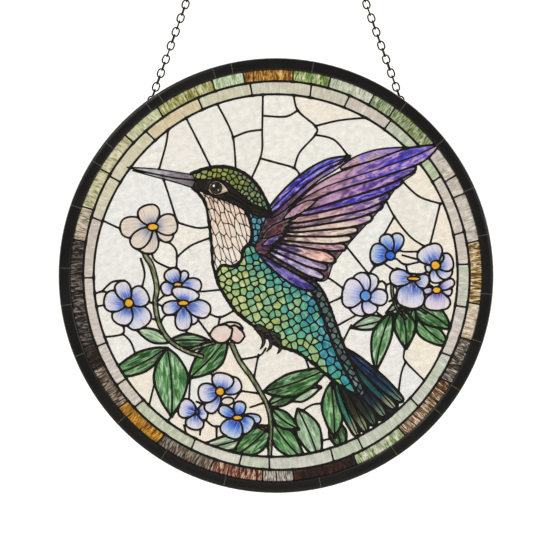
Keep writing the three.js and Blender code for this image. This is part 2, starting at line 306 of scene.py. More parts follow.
def along_blade(spine, codes):
    root, tip = spine(0), spine(1)
    run = tip - root

    def colour(x, y, chance):
        t = (Vector((x, y)) - root).dot(run) / run.length_squared
        return ramp(codes, t + 0.06 * (chance - 0.5))
    return colour


def feather(root, tip, left, right, bow, codes, wisp, lead=1.7, blunt=3.0, bleed=0.0):
    """A flight feather that swells towards its end and comes to a rounded tip."""
    outline, spine = blade(root, tip, bow, [(0.12, left * 0.45, right * 0.45), (0.4, left * 0.8, right * 0.8),
                                            (0.72, left, right), (0.93, left * 0.62, right * 0.62)], blunt)
    run = spine(1) - spine(0)
    number = pane("wing", outline, along_blade(spine, codes), wisp, lead=lead, grain=run, over=True,
                  bleed=bleed, flat=False)
    return number, spine


covert = sides([(-6, 45.5), (2, 55.5), (12, 65.5), (24, 74.5), (37, 80.6), (51.5, 82.6)],
               [(51.5, 82.6), (44, 77.5), (33, 71.5), (21, 63), (9, 52.5), (-4, 42)])
covert_pane = pane("wing", covert, lambda x, y, c: ramp(["#5A3E9E", "#4636C8", "#3B2FC0", "#5A4AD0"],
                                                         (x + 6) / 58),
                   "#A99BE6", lead=1.6, grain=(1, 0.65), over=True, flat=False)
score(covert_pane, [(-4, 45), (12, 60.5), (28, 72.5), (50, 82)], 1.0)

band = sides([(-4, 42), (9, 52.5), (21, 63), (33, 71.5), (44, 77.5), (51.5, 81)],
             [(51.5, 81), (42, 73.4), (30, 66), (18, 56), (6, 45), (-3, 39.5)])
pane("wing", band, lambda x, y, c: ramp(["#4A2A44", "#7A4A6A", "#B4839C", "#D8A9B4"], (x + 4) / 50),
     "#6A4CB8", lead=1.2, grain=(1, 0.7), over=True, flat=False)
lens = sides([(45, 75.5), (55, 82.0), (67.6, 86.4), (80, 88.0), (92, 88.4)],
             [(92, 88.4), (80, 84.2), (66, 79.2), (54, 75.8), (45, 73.2)])
pane("wing", lens, lambda x, y, c: ramp(["#D9A7A8", "#E3BDB4", "#B79AD0", "#6A57CC"], (x - 46) / 44),
     "#8F7BD8", lead=1.3, grain=(1, 0.35), over=True, flat=False)

root_covert, root_spine = blade((4.5, 38.5), (29, 52.5), 0.6, [(0.3, 2.6, 2.6), (0.7, 2.6, 2.4)])
pane("wing", root_covert, "#D7A9B2", "#8E7CC8", lead=1.1, grain=(1, 0.55), over=True)

primary = sides([(8, 44), (22, 58), (36, 67.5), (52, 74.6), (70, 80.4), (90, 87.6), (113, 90.6)],
                [(113, 90.6), (108, 84), (99.5, 77.4), (84, 71.6), (67.6, 66.2), (50, 61), (34, 55.6),
                 (20, 49.5), (8, 44)])
primary_pane = pane("wing", primary,
                    lambda x, y, c: ramp(["#8A5A7A", "#D2A2B0", "#B48CB4", "#7A5FC4", "#4A3AC8", "#6A5AD4",
                                          "#8A7CDC"], (x - 8) / 104 + 0.10 * (66 + (x - 60) * 0.42 - y) / 10),
                    "#C9A2C4", lead=1.5, grain=(1, 0.42), over=True, flat=False)
score(primary_pane, [(14, 50), (32, 60.2), (52, 67.4), (74, 74.6), (96, 82.6), (112, 90.2)], 1.0)

feather((14, 44), (96.5, 74.6), 5.0, 5.0, 0.6, ["#6E4A74", "#9C6F9C", "#7A4FA8", "#5A3FB4", "#7A66CC"],
        "#C39AC6")
feather((14, 41.5), (87, 65.2), 4.6, 5.0, -0.2, ["#5A3A78", "#6A4BB0", "#4636C0", "#3A2CB4", "#6658CC"],
        "#A78AD8")
feather((8, 36.5), (78.5, 55.6), 5.0, 5.6, 0.4, ["#7A4A5E", "#D0A2A6", "#C596A8", "#8A66B4", "#5A45B8"],
        "#E0BDBC")
feather((6, 33), (73.5, 48.4), 4.6, 4.8, 0.2, ["#4A3038", "#8A6A78", "#9A7A90", "#7A5CA8", "#6A50B0"],
        "#C8A6B8")
feather((6, 30.5), (66.5, 39.8), 5.0, 5.0, 1.0, ["#5A3848", "#C09096", "#D8B4AE", "#C4A0B8", "#9A80B4"],
        "#EAD2C8")
feather((4, 28.5), (56.5, 31.4), 4.0, 4.2, 0.6, ["#5A3A44", "#A8808A", "#CFAAAA", "#E0C4B8"], "#F0DED2")
feather((2, 25.5), (52, 25.6), 3.8, 4.2, 0.4, ["#6A4250", "#D9B4AC", "#EBD2C4", "#EAD6C8"], "#F6E8DC")
feather((0, 23.5), (48.5, 19.0), 4.0, 4.0, 1.0, ["#3E2A5A", "#8A6288", "#C796A8", "#B88CA8"], "#E4C4C4")
feather((-2, 21.5), (41, 10.0), 4.6, 4.4, 1.0, ["#2E246A", "#5A3E84", "#E0A79C", "#E4B0A8"], "#F2CFC4")
feather((-4, 19), (35.6, 4.6), 4.0, 3.8, 0.6, ["#3A2A70", "#7A5C9C", "#B09ACB", "#A888BC"], "#D8C6E0")
feather((-6, 17.0), (33.0, -1.8), 3.6, 3.6, 0.4, ["#3A2A6A", "#8474B8", "#C3B4DC", "#B4A0CC"], "#E2D8EC")
inner_covert, _ = blade((-10, 25.5), (19, 39.5), 1.4, [(0.25, 3.2, 3.4), (0.7, 3.0, 3.6)])
pane("wing", inner_covert, "#4A2430", "#8A5A66", lead=1.0, grain=(1, 0.5), over=True)
small_covert, _ = blade((-10, 20.5), (14, 29.5), 0.8, [(0.3, 2.8, 2.6), (0.7, 2.8, 2.6)])
pane("wing", small_covert, "#5A3F8C", "#9A82C4", lead=1.0, grain=(1, 0.35), over=True)
feather((-11.5, 15), (27.0, -9.6), 3.4, 4.4, -1.6, ["#241C58", "#3A3278", "#4A40A0", "#3A2C80"], "#8A7CC4",
        lead=1.5)
under = sides([(-6, 42), (10, 48), (40, 62), (94, 72), (84, 62), (72, 46), (52, 24), (40, 9), (30, -4),
               (-11, 14), (-12, 26)])
pane("wing", under, "#3A2030", "#6A4258", lead=1.0, grain=(1, 0.5), over=True)

# ---------- the borders ----------

# The tiles of the outer ring, clockwise: where each ends, then its dark, middle and light colour.
OUTER_TILES = [
    (5, "#4A2A06", "#9A6418", "#E6BC6C"), (15.5, "#3E6A1E", "#8FA35A", "#E9E4C4"),
    (28.5, "#8C9A80", "#C6CCB8", "#E8E8DC"), (35.5, "#42542A", "#8FA078", "#C8D0B4"),
    (50.5, "#34441A", "#869668", "#C3C9A6"), (61, "#84967A", "#B6C4A2", "#DCE3CC"),
    (66.3, "#A49C92", "#CDC6BD", "#E6E0D8"), (80.5, "#7A986A", "#B0C69C", "#E2E8D4"),
    (98, "#3E2406", "#8A6220", "#F2E4C0"), (108.5, "#9A7238", "#CFC4B0", "#F0E9DC"),
    (122, "#1A120E", "#4E443C", "#CFC6BA"), (141.2, "#241206", "#76522C", "#E6D6BE"),
    (156.7, "#568436", "#B4BC9C", "#EAE4D6"), (175, "#080303", "#1C0A07", "#4E2210"),
    (184, "#26201C", "#9A9188", "#E0DAD0"), (198.5, "#2A0C06", "#76301A", "#E4CCB2"),
    (215, "#20160E", "#625242", "#A8A098"), (229.7, "#2A1808", "#A66C1A", "#E4AE3E"),
    (243, "#20140C", "#5A4838", "#B8AC9C"), (249.7, "#0A0504", "#1C120E", "#4E3E30"),
    (265.5, "#070404", "#1A100E", "#948A82"), (280, "#74624E", "#B9AA98", "#EAE2D4"),
    (289.8, "#523820", "#BCAE9A", "#E2DACA"), (301.5, "#86865A", "#C4C29A", "#EAE6C8"),
    (313, "#8A8656", "#CCC8A4", "#EEEACE"), (324.5, "#7E8A56", "#C2C69C", "#E8E8CC"),
    (341.7, "#5A5418", "#A4A05C", "#E0E2BE"), (350.9, "#769A62", "#BCCEA8", "#E8EEDC"),
]
INNER_JOINTS = [10.8, 22, 36.5, 50, 59.2, 77.2, 86.5, 99.5, 115, 132.3, 153.3, 162.5, 182.2, 190.8, 206.3,
                226.8, 235.5, 248.5, 269.3, 287.3, 301, 318.2, 336.2, 352.5]
INNER_COLOURS = ["#D2CEBE", "#CCC9B6", "#CDC4BA", "#BAC4AE", "#B2C6A0", "#D0C7BD", "#CFC5BC", "#C4C7B9",
                 "#D1C8C5", "#C6CCBE", "#C2CABA", "#BCC6B2", "#C9CEC2", "#C2CAB8", "#D6D6CC", "#C2CBB2",
                 "#CFC8BE", "#CEC6C0", "#D4CAC6", "#D0C5BC", "#D4CEB4", "#D6D0B4", "#D8C8A2", "#CECCB2"]


def tile_at(joints, x, y):
    """Which tile of a ring a place lies in. The first ends at the first joint."""
    angle = math.degrees(math.atan2(x, y)) % 360
    return sum(1 for joint in joints if joint <= angle) % len(joints)


def outer_part(which):
    def colour(x, y, chance):
        return linear(OUTER_TILES[tile_at([tile[0] for tile in OUTER_TILES], x, y)][which])
    return colour


def inner_colour(x, y, chance):
    return linear(INNER_COLOURS[tile_at(INNER_JOINTS, x, y)])


def ring_line(radius, sway, count=600):
    """A ring drawn by hand: it sways in and out a little."""
    out = []
    for k in range(count):
        angle = -k * 360 / count
        turn = math.radians(angle)
        out.append(polar(radius + sway * (0.6 * math.sin(2 * turn + 2.2) + 0.4 * math.sin(5 * turn)), angle))
    return out


def outwards(x, y):
    return Vector((x, y))


inner_border = pane("border_inner", ring_line(BORDER_LINE, 0.8), inner_colour, "#EDEADF", lead=1.7, over=True,
                    flow=outwards, deep=0.82)
outer_border = pane("border_outer", [polar(CHANNEL, -k * 360 / 640) for k in range(640)], outer_part(2),
                    outer_part(3), lead=1.5, over=True, flow=outwards, deep=outer_part(1))
for joint, *_ in OUTER_TILES:
    score(outer_border, [polar(BORDER_LINE - 0.6, joint), polar(CHANNEL + 1, joint + luck.uniform(-0.5, 0.5))],
          1.15)
for joint in INNER_JOINTS:
    score(inner_border, [polar(FIELD_EDGE - 0.6, joint), polar(BORDER_LINE + 1.2, joint
                                                               + luck.uniform(-0.4, 0.4))], 1.25)
FIELD_RIM = ring_line(FIELD_EDGE, -0.5, 580)

# ---------- the bird's throat, neck, body and feet ----------

throat = sides([(-57.5, 60.2), (-49.5, 57.5), (-40, 53.2), (-30, 49.8), (-20, 44.2)],
               [(-20, 44.2), (-17.5, 36), (-16.5, 28), (-18, 22)],
               [(-18, 22), (-22.5, 18), (-24, 10.5), (-30, 6.5), (-37.5, 6.8), (-41.5, 0.5)],
               [(-41.5, 0.5), (-43.6, 8), (-44.6, 22), (-46, 35), (-48.4, 48.6), (-52, 55), (-57.5, 60.2)])


def throat_colour(x, y, chance):
    return ramp(["#F7EFE8", "#F8ECE2", "#F6E4D6", "#F0D4C0", "#D2AA90"], (y + 4) / 66 + 0.25 * (chance - 0.5))


throat_pane = pane("bird_throat", throat, throat_colour, "#FBF3EA", lead=1.9, grain=(0.35, -1), deep=0.82)
mosaic(throat_pane, rows([(-62, 64), (-52, 52), (-49, 38), (-48, 20), (-46, -6)],
                         [(-30, 56), (-18, 44), (-12, 32), (-14, 18), (-22, -2)], 9.0, 3.7, 0.42), 0.6, 3.2,
       -70)

neck = sides([(-20, 44.2), (-11.5, 40.5), (-3.5, 40.5), (-4, 30), (-8, 22), (-18, 22), (-16.5, 28),
              (-17.5, 36)])


def neck_colour(x, y, chance):
    return ramp(["#5CB0CC", "#1F7EAE", "#2A94A8", "#4AA2B8", "#1C5C80"], chance)


neck_pane = pane("bird_neck", neck, neck_colour, "#9CCBD6", lead=1.3)
mosaic(neck_pane, rows([(-24, 48), (-20, 34), (-24, 16)], [(2, 48), (0, 34), (-4, 16)], 3.8, 3.8, 0.16), 0.9)

claw_shapes = [
    [[(-13, -39), (-10, -43), (-9.5, -47), (-11, -51)], [(-11, -51), (-8, -47.5), (-7.5, -43), (-10, -38)]],
    [[(-8, -40), (-5, -44.5), (-4.5, -48.5), (-6.5, -52.5)], [(-6.5, -52.5), (-3, -49), (-2.6, -44),
                                                             (-5, -39)]],
    [[(-4, -42), (0, -46), (2, -50), (1, -54)], [(1, -54), (4, -50.5), (3.4, -45.5), (-1, -41)]],
    [[(-15, -37), (-8, -41.5), (2, -44)], [(2, -44), (3, -41), (-5, -37.5), (-12, -33.5)]],
]
for runs in claw_shapes:
    pane("bird_feet", sides(*runs), "#2A211C", "#4A3C32", lead=0.9, grain=(0.5, -1))

back_line = [(-18, 22), (-8, 22), (4, 12), (20, 0), (30, -7.5), (36.5, -20), (41.6, -34), (47.8, -50.5),
             (55, -66), (61, -80)]
ridge_line = [(-14, 20), (-2, 10), (14, -2), (25, -12), (31.5, -26), (36.5, -40), (42.8, -56), (51, -72),
              (58, -84)]


def band_colour(x, y, chance):
    return ramp(["#2C6A6E", "#3A5A5E", "#55605E", "#3E7A7A", "#2A4A50"], chance)


dark_back = sides(back_line, ridge_line[::-1])
back_pane = pane("bird_back", dark_back, band_colour, "#7E9A98", lead=1.7, grain=(0.5, -1))
mosaic(back_pane, rows(back_line, ridge_line, 6.0, 4.4, 0.16), 1.0)

belly_front = [(-41.5, 0.5), (-40.5, -4), (-37.3, -10.5), (-28.5, -24), (-18.5, -32.5), (-9, -39.7),
               (-0.7, -47.5), (14.5, -53.0), (24, -59.5), (33, -67), (42, -74.5), (50, -80)]
body = sides(belly_front, [(50, -80), (58, -84)], ridge_line[::-1], [(-14, 20), (-18, 22)],
             [(-18, 22), (-22.5, 18), (-24, 10.5), (-30, 6.5), (-37.5, 6.8), (-41.5, 0.5)])
front_path, back_path = smooth(belly_front, step=1.0), smooth(ridge_line, step=1.0)
front_tree, back_tree = kdtree.KDTree(len(front_path)), kdtree.KDTree(len(back_path))
for tree, path in ((front_tree, front_path), (back_tree, back_path)):
    for index, place in enumerate(path):
        tree.insert(place.to_3d(), index)
    tree.balance()


def body_colour(x, y, chance):
    near = front_tree.find(Vector((x, y, 0)))[2]
    far = back_tree.find(Vector((x, y, 0)))[2]
    side = near / (near + far + 0.01)
    fall = min(max((10 - y) / 86, 0), 1)
    return ramp(["#BFCF86", "#A9C46C", "#86BC86", "#4FAE90", "#2A9C9A", "#1C8CAC", "#1F7480"],
                0.04 + side * 0.74 + fall * 0.42 - 0.18 + 0.46 * (chance - 0.5))


def body_wisp(x, y, chance):
    return ramp(["#E4E8C2", "#CFE2B8", "#A8DAD0", "#7CCBD8"], chance * 0.6 + max(0, (-y - 10) / 90))


body_pane = pane("bird_belly", body, body_colour, body_wisp, lead=2.0, grain=(0.6, -1))
wide_front = [(-50, 14), (-46, -4), (-41, -14), (-32, -28), (-12, -44), (-2, -53), (14, -58), (32, -72),
              (52, -88)]
wide_back = [(-12, 26), (0, 14), (16, 1), (28, -10), (35, -24), (40, -38), (46, -54), (54, -70), (62, -86)]
mosaic(body_pane, rows(wide_front, wide_back, 4.7, 4.5, 0.27, 0.42), 1.0)

# ---------- the tail ----------

TAIL = [
    ((47, -50), (87.5, -87), 3.6, 4.8, 0.3, ["#14204A", "#142654", "#0F1A40", "#1E4058", "#8FA488"], "#2E6A7E"),
    ((47, -54), (82.5, -92), 3.8, 4.6, 0.0, ["#0C1A1E", "#134A50", "#1A5A5C", "#123E46", "#B7BE94"],
     "#2E8A86"),
    ((46, -58), (75.5, -97.5), 4.0, 4.6, -0.2, ["#0C1418", "#0F1A3A", "#0B1C2C", "#122C40", "#8FA88C"], "#2A5A6A"),
    ((46, -62), (68.5, -103.5), 4.6, 4.8, -0.4, ["#0E0C0B", "#12100E", "#14130F", "#1A2A22", "#5E7A62"],
     "#24302A"),
    ((43, -64), (62.5, -108.0), 4.4, 4.6, -0.6, ["#0F0D0C", "#13110F", "#18140F", "#3A3A28", "#B7BE94"],
     "#2E2A20"),
    ((40, -66), (56.5, -111.0), 3.6, 3.8, -1.4, ["#0F2A22", "#0F4A3A", "#1F6B5A", "#2F7A66", "#D8CFA8"],
     "#5E9A7E"),
]
for root, tip, left, right, bow, codes, wisp in TAIL:
    outline, spine = blade(root, tip, bow, [(0.2, left * 0.7, right * 0.7), (0.6, left, right),
                                            (0.9, left * 0.7, right * 0.7)], 3.0)
    pane("tail", outline, along_blade(spine, codes), wisp, lead=1.9, grain=spine(1) - spine(0), flat=False,
         bleed=-0.04)
    score(len(panes) - 1, [spine(0.1), spine(0.5), spine(0.98)], 0.9)
pane("tail", sides([(42, -60), (54, -58), (84, -88), (66, -102), (54, -106), (44, -84)]), "#0E0C0B", "#1A2A2E",
     lead=1.5)

# ---------- blossoms ----------


def blossom(middle, heart, petals, codes, heart_code="#F2B01E"):
    """Petals round a small middle, each given by its far end and half its width, the top one first. Petal
    colours run from the middle to the edge."""
    centre = Vector(middle)
    pane("blossom_heart", ellipse(*middle, *heart, step=0.9), heart_code, "#FFD766" if heart_code[1] in "EF"
         else "#6FA4EE", lead=1.3, deep=0.85)
    for x, y, plump in petals:
        tip = Vector((x, y))
        away = (tip - centre).normalized()
        beside = Vector((away.y, -away.x))
        length = (tip - centre).length
        shape = [(0.0, 0.0), (0.16, 0.5), (0.42, 0.94), (0.7, 1.04), (0.92, 0.74), (1.0, 0.0)]
        points = [centre + away * length * r + beside * plump * w for r, w in shape]
        points += [centre + away * length * r - beside * plump * w for r, w in shape[-2::-1]]

        def colour(px, py, chance, length=length):
            return ramp(codes, 1.12 * (Vector((px, py)) - centre).length / length - 0.12)

        def radial(px, py):
            return Vector((px, py)) - centre

        pane("blossom_petals", sides(points), colour, codes[4], lead=1.5, grain=away, flat=False, flow=radial,
             deep=0.5)


BLUE = ["#101C78", "#1F48B0", "#6E8EDC", "#C9CFF0", "#E6E2F0", "#F0EAF2"]
DEEP = ["#0E1A78", "#1540B8", "#2F6CDC", "#7FA6E8", "#C4D2F0", "#DCE2F4"]
GREY = ["#4A5670", "#8E98AE", "#D2CACA", "#EADDD4", "#EEDFD2", "#F1E4DA"]
PALE = ["#4A6AD0", "#7C94E0", "#BCC6F0", "#DDDCF4", "#E8E4F4", "#F1EEF6"]
LILAC = ["#181C74", "#4A48B4", "#A8A0DE", "#DCD4EC", "#EAE0EE", "#F2E9F0"]
YELLOW, SKY_BLUE = "#F2B01E", "#2468E0"

blossom((-85, 33.5), (3.9, 2.6), [(-99.0, 20.0, 5.6), (-91.0, 15.5, 7.4), (-89.5, 48.5, 7.2), (-68.0, 36.0, 7.0),
                                  (-71.5, 25.2, 4.6), (-107.6, 33.0, 7.0)], GREY)
blossom((-101.5, -19), (3.2, 3.2), [(-107.8, -4.2, 5.2), (-89.0, -11.5, 7.0), (-118.6, -17.0, 7.0),
                                    (-108.6, -33.6, 6.8), (-91.0, -35.6, 8.6)], BLUE)
blossom((-64, -19), (3.8, 2.0), [(-61.5, -8.4, 9.2), (-78.0, -24.4, 4.4), (-45.4, -25.4, 5.8), (-63.8, -38.0, 5.4),
                                 (-55.8, -33.2, 4.4)], BLUE)
blossom((-67.8, -6.4), (3.0, 1.9), [(-73.6, 4.4, 5.4), (-61.6, 2.8, 2.9), (-51.4, -7.0, 4.8), (-79.0, -10.5, 4.6)],
        BLUE, "#EDB64A")
blossom((78.8, 13.8), (3.4, 3.2), [(65.0, 15.6, 6.8), (75.0, 28.4, 4.6), (85.4, 28.8, 4.6), (66.6, 8.6, 3.2)],
        DEEP, SKY_BLUE)
blossom((61.8, -14), (3.7, 3.8), [(45.8, -11.0, 9.8), (57.6, 1.8, 5.6), (67.0, 1.0, 5.2), (76.8, -15.6, 5.4),
                                  (66.4, -26.6, 5.0), (54.6, -26.8, 6.2)], PALE, "#5C9AEC")
blossom((95, -2.2), (4.4, 1.6), [(78.4, -1.2, 5.6), (105.6, -5.0, 4.8), (91.4, -22.6, 9.4)], BLUE)
blossom((110, 7), (3.4, 3.3), [(103.6, 20.6, 8.6), (114.6, 14.6, 2.4), (122.0, 10.4, 6.0), (120.4, -0.6, 4.8),
                               (112.6, -5.0, 5.8), (103.2, 4.0, 3.0)], BLUE)
blossom((110.8, -10), (3.2, 2.4), [(111.4, -24.2, 8.6), (122.8, -3.6, 3.2), (121.4, -11.2, 3.4),
                                   (100.6, -10.8, 2.4)], LILAC)
blossom((-38.5, -80), (3.2, 3.1), [(-35.6, -67.4, 7.2), (-24.4, -73.6, 5.6), (-53.6, -81.6, 6.4),
                                   (-47.2, -94.4, 4.6)], BLUE)
pane("rose_bud", ellipse(-33.4, -86.6, 4.4, 2.7, 6), "#E8DAD6", "#F4ECE8", lead=1.5, deep=0.9)
blossom((-26.5, -98), (3.5, 1.9), [(-33.2, -111.4, 7.6), (-17.0, -106.4, 6.2), (-10.4, -99.4, 3.4),
                                   (-24.2, -86.8, 4.0), (-39.2, -91.2, 3.6)], DEEP)
blossom((-54.4, -94), (1.2, 2.2), [(-46.9, -94.2, 5.6), (-67.0, -90.2, 6.4), (-57.0, -106.2, 6.0)], BLUE,
        SKY_BLUE)

# ---------- the rose bud and its stems ----------

bud_big = sides([(-46, -41), (-42, -35.5), (-35, -33.8), (-30, -37)],
                [(-30, -37), (-31.5, -43), (-36, -46.5), (-42, -45.5), (-46, -41)])
bud_small = sides([(-33, -36.5), (-28.5, -34.4), (-23.5, -38), (-21.5, -42)],
                  [(-21.5, -42), (-25.5, -46.5), (-30.5, -45), (-33, -40.5), (-33, -36.5)])
bud_top = sides([(-40, -35), (-33, -32.2), (-26, -33.0), (-22.6, -36.6)],
                [(-22.6, -36.6), (-29, -37.6), (-35, -38), (-40, -35)])
pane("rose_bud", bud_big, "#EBD6CF", "#F6ECE6", lead=1.6, deep=0.88, grain=(1, 0.4))
pane("rose_bud", bud_small, "#E7CBC4", "#F4E6DF", lead=1.6, deep=0.88, grain=(1, -1))
pane("rose_bud", bud_top, "#EFDDD6", "#FAF2EC", lead=1.6, deep=0.88, grain=(1, 0))


def stem(points, width, name="stems", tint="#6F7A52", wisp="#A8B28A"):
    """A ribbon of glass along a soft line, narrowing a little to its end."""
    line = smooth(points, step=1.6)
    left, right = [], []
    for index, place in enumerate(line):
        along = line[min(index + 1, len(line) - 1)] - line[max(index - 1, 0)]
        beside = Vector((-along.y, along.x)).normalized() * width / 2 * (1 - 0.25 * index / len(line))
        left.append(place + beside)
        right.append(place - beside)
    return pane(name, left + right[::-1], tint, wisp, lead=1.2, grain=points[-1] - Vector(points[0])
                if isinstance(points[-1], Vector) else Vector(points[-1]) - Vector(points[0]))


stem([(-91.5, 21), (-90, 14), (-85.5, 6), (-82.2, -8), (-83.3, -19), (-80.5, -33), (-73.5, -44.5),
      (-62, -52), (-50, -56)], 3.4)
stem([(-31, -46), (-25, -59), (-17, -70), (-10.5, -81), (-5.5, -91), (-3.5, -104), (-4.5, -127)], 3.2)
stem([(-62, -52), (-52, -49), (-42, -46)], 2.6, tint="#7E8A5C")
stem([(-27, -88), (-24, -96), (-12, -104), (-4, -108)], 2.0)
stem([(84, 5), (80, -8), (83, -22), (90, -30)], 2.0)
stem([(86, -24), (96, -22), (104, -26)], 2.0)

# ---------- leaves ----------

LEAF = ["#1F5424", "#2A6828", "#44863C"]
MID = ["#347434", "#50904E", "#68A064"]
LIGHT = ["#86B186", "#A2C4A0", "#B9D2B4"]
DARK = ["#123A12", "#1C4C1E", "#2C6628"]


def leaf(root, tip, left, right, bow=0.0, codes=LEAF, wisp="#9CC296", rib=True, lead=1.85, belly=0.42):
    """A leaf of two halves, with its midrib a lead line from root to tip."""
    outline, spine = blade(root, tip, bow, [(0.14, left * 0.55, right * 0.55), (belly, left, right),
                                            (0.74, left * 0.66, right * 0.66)])
    number = pane("leaves", outline, along_blade(spine, codes), wisp, lead=lead, grain=spine(1) - spine(0),
                  flat=False)
    if rib:
        score(number, [spine(k / 8) for k in range(9)], 1.3)
    return number


leaf((-76, -50), (-117, -69.5), 6.0, 8.0, 2.5, LEAF)
leaf((-75, -50), (-72, -97.5), 11.5, 12.0, 1.5, MID, "#B9D6B6")
leaf((-34, -43), (-60.5, -71), 8.5, 9.0, 1.5, LEAF)
leaf((-74, -46), (-97, -36), 3.6, 5.2, 1.0, LIGHT, "#D0DEC6", False)
leaf((-73, -45), (-46, -45), 4.4, 5.4, 0.5, DARK)
leaf((-8.5, -80), (37, -63.5), 7.0, 9.0, -1.5, LEAF)
leaf((-6, -90), (18, -80), 5.0, 4.5, 0.5, LEAF)
leaf((6, -84), (31, -77), 6.5, 7.0, 1.0, LIGHT, "#D2E2CC")
leaf((-3, -92), (16, -106), 5.6, 5.4, -1.5, MID)
leaf((15, -92), (30, -128), 8.0, 8.5, 1.0, LIGHT, "#CFE0C8")
leaf((-3, -100), (20, -128), 7.5, 8.0, -1.5, MID)
leaf((-4, -104), (-30, -126), 8.0, 9.0, 1.0, LEAF)
leaf((-10, -108), (-60, -121), 5.5, 5.5, 1.5, LIGHT, "#E8E4D2")
leaf((38, -74), (40.5, -112), 7.5, 8.0, 0.5, MID)
leaf((40, -100), (46, -121), 6.0, 6.0, 0.0, DARK)
leaf((66, -90), (82, -102), 4.0, 4.0, 0.0, LIGHT)
leaf((80, -25), (69, -66), 6.0, 7.0, -2.0, MID, "#C2DAC0")
leaf((86, -23), (89.5, -50.5), 7.0, 7.5, 1.5, LEAF)
leaf((95, -22), (89.8, -50.5), 6.0, 6.5, -2.0, MID)
leaf((93, -20), (121, -37), 7.5, 8.0, 1.5, LEAF)
leaf((94, -25), (121, -49), 7.0, 6.5, -2.5, MID)
leaf((92, -18), (76, -26), 4.0, 4.5, 0.5, LIGHT)
leaf((76, -30), (52, -36), 4.0, 5.5, 0.5, LIGHT, "#E2E8DA")

# ---------- the field and the lead lines across it ----------


def field_colour(x, y, chance):
    return ramp(["#F2EDE4", "#EFEFF0", "#F5EBDD", "#F2F2F0", "#EEE9E0"], chance)


